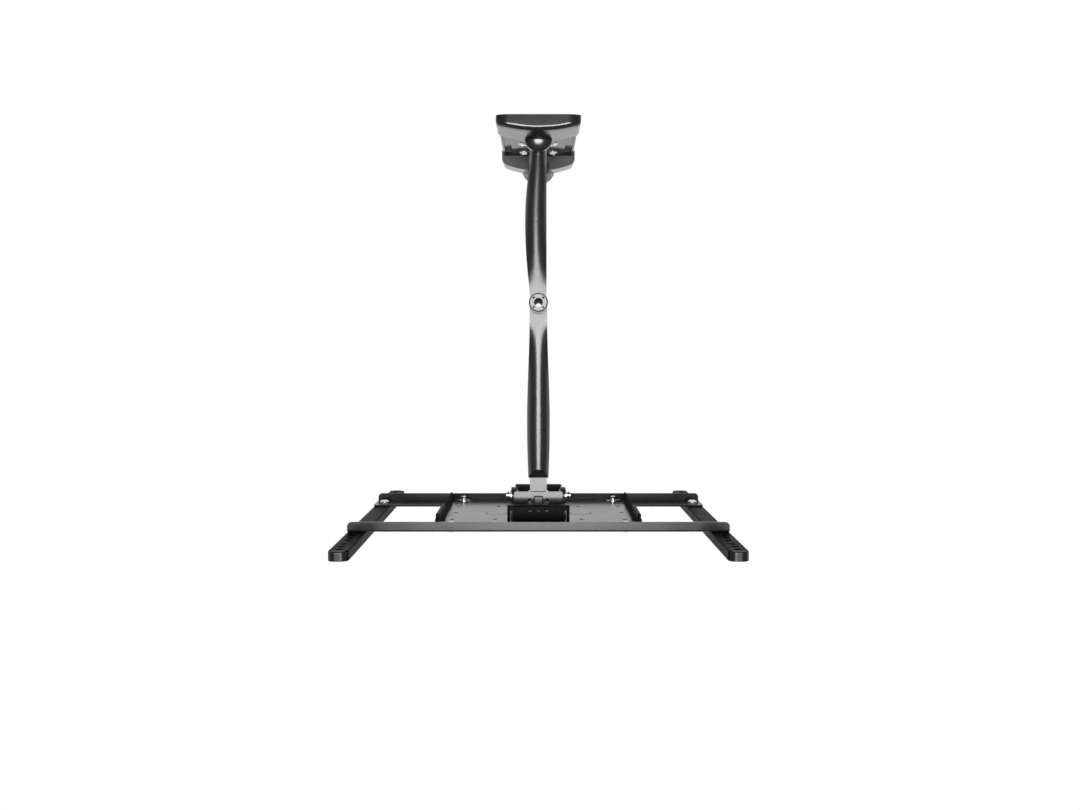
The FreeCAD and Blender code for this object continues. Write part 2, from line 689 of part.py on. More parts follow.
def elbow_ring_nut():
    seat = ELBOW_SEAT + ELBOW_WASHER_H
    top = seat + RING_NUT_H
    nut = post(0, ELBOW_Y, seat, top, RING_NUT_R)
    nut = round_edges(nut, RING_NUT_ROUND, lambda e: e.BoundBox.ZMin > seat + TINY)
    nut = nut.cut(post(0, ELBOW_Y, -BIG, top - RING_NUT_LIP, SLEEVE_R))
    nut = nut.cut(post(0, ELBOW_Y, -BIG, BIG, RING_NUT_BORE_R))
    for k in range(4):
        turn = math.radians(45 + 90 * k)
        x = 0.5 * SPANNER_PCD * math.cos(turn)
        y = ELBOW_Y + 0.5 * SPANNER_PCD * math.sin(turn)
        floor = top - SPANNER_DEPTH
        point = Part.makeCone(0, SPANNER_HOLE_R, SPANNER_POINT, Vector(x, y, floor - SPANNER_POINT))
        nut = nut.cut(post(x, y, floor, BIG, SPANNER_HOLE_R).fuse(point))
    return nut


def elbow_bushes():
    bore = SLEEVE_R + RUN_FIT
    sizes = (bore, ELBOW_BUSH_R, ELBOW_BUSH_LENGTH, KNUCKLE_R - SIDE_GAP, BUSH_FLANGE_H)
    upper = flanged_bush(ELBOW_Y, KNUCKLE_HALF, 1, *sizes)
    lower = flanged_bush(ELBOW_Y, -KNUCKLE_HALF, -1, *sizes)
    return Part.makeCompound([upper, lower])


def outer_arm():
    step = ELBOW_Y - OUTER_NECK
    hull_length = OUTER_REACH - RAMP_END - OUTER_NECK
    wires = []
    for share, half, crest, rise in OUTER_STATIONS:
        wires.append(hull_section(step - share * hull_length, -half, half, crest - rise, crest))
    hull = Part.makeLoft(wires, True, False)
    ramp_top = Vector(-BIG, SWIVEL_Y + RAMP_START, OUTER_TOP)
    ramp_foot = Vector(-BIG, SWIVEL_Y + RAMP_END, TONGUE_TOP)
    scoop = (ramp_top + ramp_foot) * 0.5 - Vector(0, RAMP_SCOOP, RAMP_SCOOP)
    over = Vector(0, 0, BARREL_R)
    ramp = Part.Wire([
        Part.Arc(ramp_top, scoop, ramp_foot).toShape(),
        Part.makeLine(ramp_foot, Vector(-BIG, SWIVEL_Y, TONGUE_TOP)),
        Part.makeLine(Vector(-BIG, SWIVEL_Y, TONGUE_TOP), Vector(-BIG, SWIVEL_Y, OUTER_TOP) + over),
        Part.makeLine(Vector(-BIG, SWIVEL_Y, OUTER_TOP) + over, ramp_top + over),
        Part.makeLine(ramp_top + over, ramp_top),
    ])
    ramp = Part.Face(ramp).extrude(Vector(2 * BIG, 0, 0))
    hull = hull.cut(ramp).cut(mirror_z(ramp))
    root = SWIVEL_Y + RAMP_START
    tongue = Part.makePolygon([
        Vector(-TONGUE_ROOT_HALF, root, -TONGUE_TOP),
        Vector(-TONGUE_R, SWIVEL_Y, -TONGUE_TOP),
        Vector(TONGUE_R, SWIVEL_Y, -TONGUE_TOP),
        Vector(TONGUE_ROOT_HALF, root, -TONGUE_TOP),
        Vector(-TONGUE_ROOT_HALF, root, -TONGUE_TOP),
    ])
    tongue = Part.Face(tongue).extrude(Vector(0, 0, 2 * TONGUE_TOP))
    end = post(0, SWIVEL_Y, -TONGUE_TOP, TONGUE_TOP, TONGUE_R)
    knuckle = post(0, ELBOW_Y, -KNUCKLE_HALF, KNUCKLE_HALF, KNUCKLE_R)
    neck = block(-KNUCKLE_R, KNUCKLE_R, step - OUTER_NECK, ELBOW_Y, -KNUCKLE_HALF, KNUCKLE_HALF)
    arm = hull.fuse([tongue, end, knuckle, neck])
    arm = arm.cut(slot_through(SWIVEL_Y + TONGUE_SLOT, TONGUE_UNDER, TONGUE_SLOT_CORNER))
    arm = arm.cut(post(0, ELBOW_Y, -BIG, BIG, ELBOW_BUSH_R))
    return arm.cut(post(0, SWIVEL_Y, -BIG, BIG, SWIVEL_BUSH_R))


def swivel_bushes():
    bore = SWIVEL_BOLT_R + RUN_FIT
    sizes = (bore, SWIVEL_BUSH_R, TONGUE_SHEET, SWIVEL_BUSH_FLANGE_R, SWIVEL_FLANGE_H)
    upper = flanged_bush(SWIVEL_Y, TONGUE_TOP, 1, *sizes)
    lower = flanged_bush(SWIVEL_Y, -TONGUE_TOP, -1, *sizes)
    return Part.makeCompound([upper, lower])


# Swivel head

def swivel_bracket():
    wall_edge = SWIVEL_Y + HEAD_WALL_SIDE
    screen_edge = SWIVEL_Y - HEAD_SCREEN_SIDE
    plate = block(-HEAD_HALF, HEAD_HALF, screen_edge, wall_edge, HEAD_INNER, HEAD_OUTER)
    middle = 0.5 * (wall_edge + screen_edge)
    plate = round_edges(plate, HEAD_CORNER, lambda e: runs_along(e, Z_AXIS) and e.CenterOfMass.y > middle)
    for side in (-1, 1):
        x = side * PEEP_X
        y = SWIVEL_Y + PEEP_BACK
        half_x = 0.5 * PEEP_WIDE
        half_y = 0.5 * PEEP_LONG
        plate = plate.cut(block(x - half_x, x + half_x, y - half_y, y + half_y, -BIG, BIG))
    strip = block(CHEEK_IN, HEAD_HALF, screen_edge, screen_edge + CHEEK_STRIP, -HEAD_OUTER, HEAD_OUTER)
    lobe = rod_x(TILT_Y, 0, CHEEK_IN, HEAD_HALF, CHEEK_LOBE_R)
    link = block(CHEEK_IN, HEAD_HALF, screen_edge, TILT_Y, -CHEEK_LOBE_R, CHEEK_LOBE_R)
    cheek = clean(strip.fuse([lobe, link]))
    bracket = clean(plate.fuse([mirror_z(plate), cheek, mirror_x(cheek)]))
    bracket = bracket.cut(post(0, SWIVEL_Y, -BIG, BIG, SWIVEL_BOLT_R + HOLE_FIT))
    return bracket.cut(rod_x(TILT_Y, 0, -BIG, BIG, TILT_BOLT_R + HOLE_FIT))


def swivel_bolt():
    foot = -HEAD_OUTER - WASHER_H - SWIVEL_NUT_H
    half = 0.5 * SWIVEL_HEAD_WIDE
    ahead = SWIVEL_Y - SWIVEL_HEAD_AHEAD
    head = block(-half, half, ahead, SWIVEL_Y + SWIVEL_HEAD_BACK, HEAD_OUTER, HEAD_OUTER + SWIVEL_HEAD_H)
    head = round_edges(head, SWIVEL_HEAD_ROUND, lambda e: e.BoundBox.ZMin > HEAD_OUTER + TINY)
    return clean(head.fuse(post(0, SWIVEL_Y, foot, HEAD_OUTER, SWIVEL_BOLT_R)))


def swivel_washer():
    ring = post(0, SWIVEL_Y, -HEAD_OUTER - WASHER_H, -HEAD_OUTER, SWIVEL_WASHER_R)
    return ring.cut(post(0, SWIVEL_Y, -BIG, BIG, SWIVEL_BOLT_R + HOLE_FIT))


def swivel_nut():
    top = Vector(0, SWIVEL_Y, -HEAD_OUTER - WASHER_H)
    nut = hexagon(top, Vector(0, 0, -1), SWIVEL_NUT_FLATS, SWIVEL_NUT_H)
    return nut.cut(post(0, SWIVEL_Y, -BIG, BIG, SWIVEL_BOLT_R))


def pair(shape):
    """A piece on the right and its mirror image on the left."""
    return Part.makeCompound([shape, mirror_x(shape)])


def tilt_bolts():
    end = TILT_NUT_IN + TILT_NUT_H + TILT_BOLT_END
    head = dome(Vector(CHEEK_IN, TILT_Y, 0), Vector(-1, 0, 0), TILT_HEAD_R, TILT_HEAD_H)
    return pair(head.fuse(rod_x(TILT_Y, 0, CHEEK_IN, end, TILT_BOLT_R)))


def tilt_washers():
    ring = rod_x(TILT_Y, 0, TILT_WASHER_IN, TILT_NUT_IN, TILT_DISC_R)
    return pair(ring.cut(rod_x(TILT_Y, 0, -BIG, BIG, TILT_BOLT_R + HOLE_FIT)))


def tilt_nuts():
    nut = hexagon(Vector(TILT_NUT_IN, TILT_Y, 0), X_AXIS, TILT_NUT_FLATS, TILT_NUT_H)
    return pair(nut.cut(rod_x(TILT_Y, 0, -BIG, BIG, TILT_BOLT_R)))


# Tilt bracket and its cover

def rivet_places():
    return [(side * RIVET_X, z) for side in (-1, 1) for z in (RIVET_LOW, RIVET_HIGH)]


def tilt_bracket():
    face = PLATE_BACK + TILT_WEB_SHEET
    web = block(-EAR_OUT, EAR_OUT, PLATE_BACK, face, TILT_WEB_BOTTOM, TILT_WEB_TOP)
    strip = block(EAR_IN, EAR_OUT, PLATE_BACK, PLATE_BACK + TILT_STRIP, TILT_WEB_BOTTOM, TILT_WEB_TOP)
    link = block(EAR_IN, EAR_OUT, PLATE_BACK, TILT_Y, -EAR_LOBE_R, EAR_LOBE_R)
    lobe = rod_x(TILT_Y, 0, EAR_IN, EAR_OUT, EAR_LOBE_R)
    tab = block(EAR_IN, EAR_OUT, face, face + TILT_TAB_WIDE, TILT_WEB_TOP - TILT_STRIP, ROOF_TOP)
    side = clean(strip.fuse([link, lobe, tab]))
    bracket = clean(web.fuse([side, mirror_x(side)]))
    for x, z in rivet_places():
        bracket = bracket.cut(rod_y(x, z, -BIG, BIG, RIVET_R + HOLE_FIT))
    return bracket.cut(rod_x(TILT_Y, 0, -BIG, BIG, TILT_BOLT_R + RUN_FIT))


def tilt_discs():
    ring = rod_x(TILT_Y, 0, DISC_IN, EAR_IN, TILT_DISC_R)
    return pair(ring.cut(rod_x(TILT_Y, 0, -BIG, BIG, TILT_BOLT_R + RUN_FIT)))


def head_cover():
    wall_edge = PLATE_BACK + ROOF_DEPTH
    under = ROOF_TOP - ROOF_SHEET
    roof = block(-ROOF_HALF, ROOF_HALF, PLATE_BACK, wall_edge, ROOF_TOP - ROOF_LIP, ROOF_TOP)

    def brow(edge):
        return edge.BoundBox.YMin > wall_edge - TINY and edge.BoundBox.ZMin > under

    roof = round_edges(roof, ROOF_ROUND, brow)
    inside = ROOF_HALF - ROOF_SHEET
    roof = roof.cut(block(-inside, inside, -BIG, wall_edge - ROOF_SHEET, -BIG, under))
    slot_end = PLATE_BACK + TILT_WEB_SHEET + TILT_TAB_WIDE + SIDE_GAP
    slot = block(EAR_IN - SIDE_GAP, EAR_OUT + SIDE_GAP, -BIG, slot_end, -BIG, BIG)
    roof = roof.cut(slot).cut(mirror_x(slot))
    y = PLATE_BACK + ROOF_HOLE_BACK
    half_y = 0.5 * ROOF_HOLE_LONG
    half_x = 0.5 * ROOF_HOLE_WIDE
    for k in (-1, 0, 1):
        x = k * ROOF_HOLE_PITCH
        roof = roof.cut(block(x - half_x, x + half_x, y - half_y, y + half_y, -BIG, BIG))
    return roof


def bracket_rivets():
    face = PLATE_BACK + TILT_WEB_SHEET
    rivets = []
    for x, z in rivet_places():
        head = dome(Vector(x, face, z), Y_AXIS, RIVET_HEAD_R, RIVET_HEAD_H)
        rivets.append(head.fuse(rod_y(x, z, PLATE_FRONT, face, RIVET_R)))
    return Part.makeCompound(rivets)


# Screen plate

def plate_bolt_places():
    return [(sx * PLATE_BOLT_X, sz * PLATE_BOLT_Z) for sx in (-1, 1) for sz in (-1, 1)]


def bar_bolt_places():
    return [(sx * BAR_X, sz * BAR_BOLT_Z) for sx in (-1, 1) for sz in (-1, 1)]


def vesa_places():
    half = 0.5 * VESA_PITCH
    places = [(sx * reach, sz * half) for sx in (-1, 1) for sz in (-1, 1) for reach in (half, VESA_PITCH)]
    return places + [(-VESA_PITCH, 0), (VESA_PITCH, 0)]


def arch(x, radius, foot, leg):
    """Arch through the plate: a half round on two upright legs."""
    crown = rod_y(x, leg, -BIG, BIG, radius)
    legs = block(x - radius, x + radius, -BIG, BIG, foot, leg)
    return crown.fuse(legs)


def arched_slit(x):
    """Thin cut that follows an arch and leaves the tongue inside it standing."""
    radius = 0.5 * SLIT_WIDE
    leg = SLIT_HIGH - radius
    band = arch(x, radius, 0, leg).cut(arch(x, radius - SLIT_CUT, -SLIT_CUT, leg))
    return band.common(block(-BIG, BIG, -BIG, BIG, 0, BIG))


def vesa_plate():
    outer_half = PLATE_INNER_HALF + PLATE_SHEET
    flange_edge = PLATE_BACK + PLATE_FLANGE
    plate = block(-outer_half, outer_half, PLATE_FRONT, flange_edge, -PLATE_HALF_HIGH, PLATE_HALF_HIGH)

    def flange_corner(edge):
        return runs_along(edge, X_AXIS) and edge.CenterOfMass.y > PLATE_BACK + PLATE_SHEET

    plate = round_edges(plate, PLATE_FLANGE_CORNER, flange_corner)
    plate = plate.cut(block(-PLATE_INNER_HALF, PLATE_INNER_HALF, PLATE_BACK, BIG, -BIG, BIG))
    for x, z in vesa_places():
        plate = plate.cut(rod_y(x, z, -BIG, BIG, VESA_HOLE_R))
    for x, z in plate_bolt_places():
        plate = plate.cut(rod_y(x, z, -BIG, BIG, FRAME_BOLT_R + HOLE_FIT))
    for x, z in rivet_places():
        plate = plate.cut(rod_y(x, z, -BIG, BIG, RIVET_R + HOLE_FIT))
    for x in (-SLIT_X, SLIT_X):
        plate = plate.cut(arched_slit(x))
    return plate


def right_clip():
    """Edge clip that grips the plate's side flange."""
    edge = PLATE_BACK + PLATE_FLANGE
    inner = PLATE_INNER_HALF - CLIP_WALL
    outer = PLATE_INNER_HALF + PLATE_SHEET + CLIP_WALL
    clip = block(inner, outer, edge - CLIP_GRIP, edge + CLIP_REACH, CLIP_BOTTOM, CLIP_TOP)
    clip = round_edges(clip, CLIP_WALL, lambda e: e.BoundBox.YMin > edge + CLIP_REACH - TINY)
    return clip.cut(block(PLATE_INNER_HALF, PLATE_INNER_HALF + PLATE_SHEET, -BIG, edge, -BIG, BIG))


# Rails and bars

def upper_rail():
    half = 0.5 * RAIL_LENGTH
    edge_y = RAIL_FRONT + RAIL_FLANGE
    web = block(-half, half, RAIL_FRONT, RAIL_FRONT + RAIL_SHEET, RAIL_OUTER - RAIL_WEB, RAIL_OUTER)

    def lower_corner(edge):
        return runs_along(edge, Y_AXIS) and edge.CenterOfMass.z < RAIL_OUTER - TINY

    def flange_corner(edge):
        return runs_along(edge, Z_AXIS) and edge.CenterOfMass.y > edge_y - TINY

    def fold(edge):
        middle = edge.CenterOfMass
        return runs_along(edge, X_AXIS) and middle.y < RAIL_FRONT + TINY and middle.z > RAIL_OUTER - TINY

    web = round_edges(web, RAIL_CORNER, lower_corner)
    flange = block(-half, half, RAIL_FRONT, edge_y, RAIL_OUTER - RAIL_SHEET, RAIL_OUTER)
    flange = round_edges(flange, RAIL_CORNER, flange_corner)
    rail = round_edges(clean(web.fuse(flange)), RAIL_SHEET, fold)
    for x, z in plate_bolt_places() + bar_bolt_places():
        rail = rail.cut(rod_y(x, abs(z), -BIG, BIG, FRAME_BOLT_R + HOLE_FIT))
    return rail


def lower_rail():
    return mirror_z(upper_rail())


def bar_hole_heights():
    heights = []
    for inset in (BAR_HOLE_INNER_INSET, BAR_HOLE_OUTER_INSET):
        middle = 0.5 * BAR_LENGTH - inset
        for k in (-1, 0, 1):
            heights += [middle + k * BAR_HOLE_PITCH, -middle - k * BAR_HOLE_PITCH]
    return heights


def right_bar():
    half = 0.5 * BAR_WIDE
    high = 0.5 * BAR_LENGTH
    bar = block(BAR_X - half, BAR_X + half, BAR_FRONT, RAIL_FRONT, -high, high)
    bar = round_edges(bar, BAR_END_ROUND, lambda e: runs_along(e, Y_AXIS))
    bar = round_edges(bar, BAR_EDGE_ROUND, lambda e: e.BoundBox.YMin > RAIL_FRONT - TINY)
    tray = block(
        BAR_X - half + BAR_SHEET,
        BAR_X + half - BAR_SHEET,
        -BIG,
        RAIL_FRONT - BAR_SHEET,
        -high + BAR_SHEET,
        high - BAR_SHEET,
    )
    tray = round_edges(tray, BAR_END_ROUND - BAR_SHEET, lambda e: runs_along(e, Y_AXIS))
    bar = bar.cut(tray)
    for z in bar_hole_heights():
        bar = bar.cut(rod_y(BAR_X, z, -BIG, BIG, BAR_HOLE_R))
    for z in (-BAR_BOLT_Z, BAR_BOLT_Z):
        bar = bar.cut(rod_y(BAR_X, z, -BIG, BIG, FRAME_BOLT_R + HOLE_FIT))
    return bar


# Screws of the screen frame

def frame_bolts(places, head_seat, nut_seat):
    """Round-headed bolts that run from the seat of the head past the seat of the nut."""
    way = 1 if nut_seat > head_seat else -1
    end = nut_seat + way * (FRAME_WASHER_H + FRAME_NUT_H + FRAME_BOLT_END)
    bolts = []
    for x, z in places:
        head = dome(Vector(x, head_seat, z), Y_AXIS * -way, FRAME_HEAD_R, FRAME_HEAD_H)
        bolts.append(head.fuse(rod_y(x, z, min(head_seat, end), max(head_seat, end), FRAME_BOLT_R)))
    return Part.makeCompound(bolts)


def frame_washers(places, seat, way, radius):
    rings = []
    face = seat + way * FRAME_WASHER_H
    for x, z in places:
        ring = rod_y(x, z, min(seat, face), max(seat, face), radius)
        rings.append(ring.cut(rod_y(x, z, -BIG, BIG, FRAME_BOLT_R + HOLE_FIT)))
    return Part.makeCompound(rings)


def frame_nuts(places, seat, way):
    nuts = []
    for x, z in places:
        foot = Vector(x, seat + way * FRAME_WASHER_H, z)
        nut = hexagon(foot, Y_AXIS * way, FRAME_NUT_FLATS, FRAME_NUT_H)
        nuts.append(nut.cut(rod_y(x, z, -BIG, BIG, FRAME_BOLT_R)))
    return Part.makeCompound(nuts)


def all_nodes():
    right_clip_shape = right_clip()
    right_bar_shape = right_bar()
    bar_web = RAIL_FRONT - BAR_SHEET
    return {
        "wall_plate": wall_plate(),
        "shoulder_bracket": shoulder_bracket(),
        "bracket_screws": bracket_screws(),
        "top_cover": top_cover(),
        "bottom_cover": bottom_cover(),
        "shoulder_bolt": shoulder_bolt(),
        "shoulder_washer": shoulder_washer(),
        "shoulder_nut": shoulder_nut(),
        "inner_arm": inner_arm(),
        "shoulder_bushes": shoulder_bushes(),
        "elbow_sleeve": elbow_sleeve(),
        "elbow_washers": elbow_washers(),
        "elbow_ring_nut": elbow_ring_nut(),
        "outer_arm": outer_arm(),
        "elbow_bushes": elbow_bushes(),
        "swivel_bushes": swivel_bushes(),
        "swivel_bracket": swivel_bracket(),
        "swivel_bolt": swivel_bolt(),
        "swivel_washer": swivel_washer(),
        "swivel_nut": swivel_nut(),
        "tilt_bolts": tilt_bolts(),
        "tilt_washers": tilt_washers(),
        "tilt_nuts": tilt_nuts(),
        "tilt_bracket": tilt_bracket(),
        "tilt_discs": tilt_discs(),
        "head_cover": head_cover(),
        "bracket_rivets": bracket_rivets(),
        "vesa_plate": vesa_plate(),
        "right_clip": right_clip_shape,
        "left_clip": mirror_x(right_clip_shape),
        "upper_rail": upper_rail(),
        "lower_rail": lower_rail(),
        "right_bar": right_bar_shape,
        "left_bar": mirror_x(right_bar_shape),
        "plate_bolts": frame_bolts(plate_bolt_places(), RAIL_FRONT, PLATE_BACK),
        "plate_washers": frame_washers(plate_bolt_places(), PLATE_BACK, 1, PLATE_WASHER_R),
        "plate_nuts": frame_nuts(plate_bolt_places(), PLATE_BACK, 1),
        "bar_bolts": frame_bolts(bar_bolt_places(), PLATE_FRONT, bar_web),
        "bar_washers": frame_washers(bar_bolt_places(), bar_web, -1, BAR_WASHER_R),
        "bar_nuts": frame_nuts(bar_bolt_places(), bar_web, -1),
    }


def write_parts():
    os.makedirs("parts", exist_ok=True)
    for node, shape in all_nodes().items():
        box = shape.BoundBox
        print(
            node, "valid" if shape.isValid() else "NOT VALID", "solids", len(shape.Solids),
            "volume", round(shape.Volume), "faces", len(shape.Faces),
            "x", round(box.XMin, 1), round(box.XMax, 1),
            "y", round(box.YMin, 1), round(box.YMax, 1),
            "z", round(box.ZMin, 1), round(box.ZMax, 1),
        )
        shape.exportStep(os.path.join("parts", node + ".step"))


write_parts()
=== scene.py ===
"""Dresses the wall arm: finishes, small hardware, studio and camera. Metres."""
import math
import bpy
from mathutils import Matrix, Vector


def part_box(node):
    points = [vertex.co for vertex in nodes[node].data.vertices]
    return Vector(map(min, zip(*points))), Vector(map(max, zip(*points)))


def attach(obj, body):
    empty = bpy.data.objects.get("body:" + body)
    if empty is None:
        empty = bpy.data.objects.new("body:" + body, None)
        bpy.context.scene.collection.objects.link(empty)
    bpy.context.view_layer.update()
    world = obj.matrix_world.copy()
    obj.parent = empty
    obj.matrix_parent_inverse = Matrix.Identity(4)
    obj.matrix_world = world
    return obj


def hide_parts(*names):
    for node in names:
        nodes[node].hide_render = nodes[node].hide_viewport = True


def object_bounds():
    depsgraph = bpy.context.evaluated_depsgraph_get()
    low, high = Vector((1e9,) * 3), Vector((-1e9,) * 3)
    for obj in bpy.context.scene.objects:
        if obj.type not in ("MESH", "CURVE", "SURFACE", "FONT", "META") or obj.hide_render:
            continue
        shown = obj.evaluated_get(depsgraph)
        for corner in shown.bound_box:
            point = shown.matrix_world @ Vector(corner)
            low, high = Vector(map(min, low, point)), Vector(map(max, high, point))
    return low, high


MM = 0.001

# Camera of the photograph: a 35 mm lens that looks down on the extended arm
PHOTO_WIDTH = 1080
LENS_MM = 35.0
SENSOR_MM = 36.0
CAMERA_PLACE = Vector((0.0, -250.9, 1258.0)) * MM
CAMERA_LEAN_DEG = -3.107
CENTRELINE_PIXEL = 538.4

# Studio
FLOOR_DROP = 0.75            # floor below the lowest point of the arm
FLOOR_SPAN = 60.0
PAPER_TONE = 0.8
SOFTBOX_PLACE = Vector((0.0, -0.365, 3.0))
SOFTBOX_WIDE = 1.8
SOFTBOX_LONG = 1.16
SOFTBOX_WATTS = 75.0
CEILING_TONE = 0.18          # the dim upper half of the studio
HORIZON_TONE = 0.45          # the paler wall that runs round it
HORIZON_SINE = 0.02          # sine of the height where that wall begins to darken
CEILING_SINE = 0.35          # and where it has become the ceiling

# Colours of the finishes, darkest and lightest
COAT_TONES = ((0.012, 0.012, 0.013), (0.03, 0.03, 0.032))
# The bars' tones are darker than the coat of the rails: painted shade for their dim faces
BAR_SHADED_TONES = ((0.007, 0.007, 0.0072), (0.015, 0.015, 0.0155))
PAINT_TONES = ((0.014, 0.014, 0.015), (0.03, 0.03, 0.032))
PLASTIC_TONES = ((0.01, 0.01, 0.0105), (0.022, 0.022, 0.023))
ROOF_TONES = ((0.004, 0.004, 0.0042), (0.009, 0.009, 0.0095))
NYLON_TONES = ((0.03, 0.03, 0.03), (0.06, 0.06, 0.058))
# Near-black tones of the elbow sleeve: painted shade in its deep bore
BORE_SHADE_TONES = ((0.004, 0.004, 0.004), (0.01, 0.01, 0.01))
ZINC_TONES = ((0.66, 0.67, 0.69), (0.88, 0.89, 0.91))
OXIDE_TONES = ((0.018, 0.018, 0.02), (0.04, 0.04, 0.042))

# Grain of the finishes in millimetres: orange peel and blotches
SHEET_GRAIN_MM = (1.1, 28.0)
CAST_GRAIN_MM = (6.0, 45.0)
PLASTIC_GRAIN_MM = (6.0, 20.0)
NYLON_GRAIN_MM = (1.5, 9.0)
TURNED_GRAIN_MM = (2.0, 12.0)
BORE_GRAIN_MM = (0.7, 12.0)
ZINC_GRAIN_MM = (0.6, 4.0)
OXIDE_GRAIN_MM = (0.6, 6.0)
PEEL_DETAIL = 2.0
BLOTCH_DETAIL = 3.0
BLOTCH_SPAN = (0.3, 0.7)     # noise values that count as fully smooth and fully rough

# Zones where a finish changes
SHEET_EDGE_MM = 0.4          # soft edge of pressed sheet, in the shading
EDGE_SAMPLES = 8
CUT_SKIN = 0.1 * MM          # skin of a face, beside which its cut edge begins
PLATE_SHEET = 1.5 * MM       # sheet of the screen plate
FOOT_SHADE = 9.0 * MM        # matt strip of the wall plate above the lower cover
BAR_END_GLOSS = 3.0 * MM     # glossy band at the upper ends of the bars
BAR_END_ROUGH = 0.3
LOWER_EAR_ROUGH = 0.36
FOOT_TOP_ROUGH = 0.5
MATT = 1.0
WALL_LEAN_DEG = 4.0          # lean of the wall plate and bracket, in the shading
ANYWHERE = (-10.0, 10.0)     # span of an axis that a zone doesn't limit

# Screws
SCREW_SHANK_R = 3.0 * MM
SCREW_HEAD = 3.0 * MM        # height of the domed head
SCREW_TIP = 0.4 * MM         # chamfer at the end of the shank
WALL_SCREW_R = 6.5 * MM
WALL_SCREW_LONG = 5.2 * MM
FRAME_SCREW_R = 6.0 * MM
RAIL_SCREW_LONG = 9.3 * MM
BAR_SCREW_LONG = 9.8 * MM
DOME_RINGS = 7
HEAD_RIM = 0.22              # straight rim, as a share of the head's height
SOCKET_WIDE = 0.42           # corner radius of the socket, as a share of the head's radius
SOCKET_FLOOR = 0.35          # floor of the socket, as a share of the head's height
CROSS_LONG = 1.15            # blades of the cross, as shares of the head's radius
CROSS_WIDE = 0.26
CROSS_FLOOR = 0.3            # floor of the cross, as a share of the head's height
CROSS_TAPER = 0.5

# Lock nuts: across flats, height and radius of the bore
SMALL_NUT = (10.0 * MM, 4.0 * MM, 3.0 * MM)
TILT_NUT = (13.0 * MM, 4.0 * MM, 4.0 * MM)
SWIVEL_NUT = (13.0 * MM, 5.0 * MM, 4.0 * MM)
SHOULDER_NUT = (16.0 * MM, 8.0 * MM, 5.0 * MM)
HEXAGON_SIDES = 6
HEXAGON_COSINE = math.cos(math.pi / HEXAGON_SIDES)
NUT_BODY = 0.66              # hexagon part, as a share of the nut's height
NUT_CROWN = 0.96             # flat top of the hexagon, as a share of half its flats
CROWN_FLARE = 1.73           # how fast the chamfer widens below that top
COLLAR_INSET = 0.08          # step of the collar and of its lip, as a share of half the flats
COLLAR_STEPS = ((0.7, 0.98), (0.2, 0.95), (0.1, 0.92))   # share of its height, narrowing
COLLAR_DIP = (-0.3, 0.99)    # inside of the lip, in the same terms
RING_WIDE = 0.74             # nylon ring, as a share of half the flats
RING_LOW = 0.7               # its lower and upper face, as shares of the nut's height
RING_HIGH = 0.9
RING_EDGE = 0.04             # its worn edge, as a share of half the flats
RING_CROWN = 0.02            # and its rise there, as a share of the nut's height
RING_BITE = 0.98             # its bore, as a share of the nut's

# Ring nut of the elbow
ELBOW_NUT_R = 10.7 * MM
ELBOW_NUT_HIGH = 6.0 * MM
ELBOW_NUT_LIP = 2.0 * MM
ELBOW_NUT_CHAMFER = 1.3 * MM
ELBOW_NUT_SEAT_R = 7.0 * MM
ELBOW_NUT_BORE_R = 5.05 * MM
SPANNER_HOLES = 4
SPANNER_FIRST_DEG = 45.0
SPANNER_CIRCLE_R = 7.5 * MM
SPANNER_HOLE_R = 1.2 * MM
SPANNER_HOLE_DEEP = 3.0 * MM
DRILL_POINT = 1.4 * MM
DRILL_POINT_WIDE = 0.05      # blunt end of the drill's point

# Mesh of the hardware
SCREW_SIDES = 48
ELBOW_NUT_SIDES = 96
ELBOW_BORE_SIDES = 64
SPANNER_SIDES = 24
SMOOTH_DEG = 32.0
OVERCUT = 1.0 * MM           # how far a cutter passes through a face
LEVEL_SKIN = 0.01 * MM       # faces this near to an end belong to it
UPRIGHT_COSINE = 0.9         # faces that look along the axis

# Turns of a screw or nut, by the way that its top looks
QUARTER = 0.5 * math.pi
TO_SCREEN = (QUARTER, 0.0, 0.0)
TO_WALL = (-QUARTER, 0.0, 0.0)
TO_RIGHT = (0.0, QUARTER, 0.0)
TO_LEFT = (0.0, -QUARTER, 0.0)
DOWN = (2.0 * QUARTER, 0.0, 0.0)
UP = (0.0, 0.0, 0.0)

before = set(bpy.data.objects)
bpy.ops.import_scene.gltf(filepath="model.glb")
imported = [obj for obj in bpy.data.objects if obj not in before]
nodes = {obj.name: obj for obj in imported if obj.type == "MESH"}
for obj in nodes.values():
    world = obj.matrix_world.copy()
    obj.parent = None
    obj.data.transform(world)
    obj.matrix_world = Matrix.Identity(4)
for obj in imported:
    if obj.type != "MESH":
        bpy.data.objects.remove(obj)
cad_low, cad_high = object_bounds()


# Shader groups

def add_node(tree, kind, place, **settings):
    """A shader node with its settings, put at a place on the sheet."""
    node = tree.nodes.new(kind)
    node.location = place
    for name, value in settings.items():
        setattr(node, name, value)
    return node


def new_group(name, inputs, outputs):
    """An empty shader group with named sockets; gives the tree and its two ends."""
    tree = bpy.data.node_groups.new(name, "ShaderNodeTree")
    for label, kind in inputs:
        tree.interface.new_socket(label, in_out="INPUT", socket_type=kind)
    for label, kind in outputs:
        tree.interface.new_socket(label, in_out="OUTPUT", socket_type=kind)
    start = add_node(tree, "NodeGroupInput", (-800, 0))
    end = add_node(tree, "NodeGroupOutput", (600, 0))
    return tree, start, end


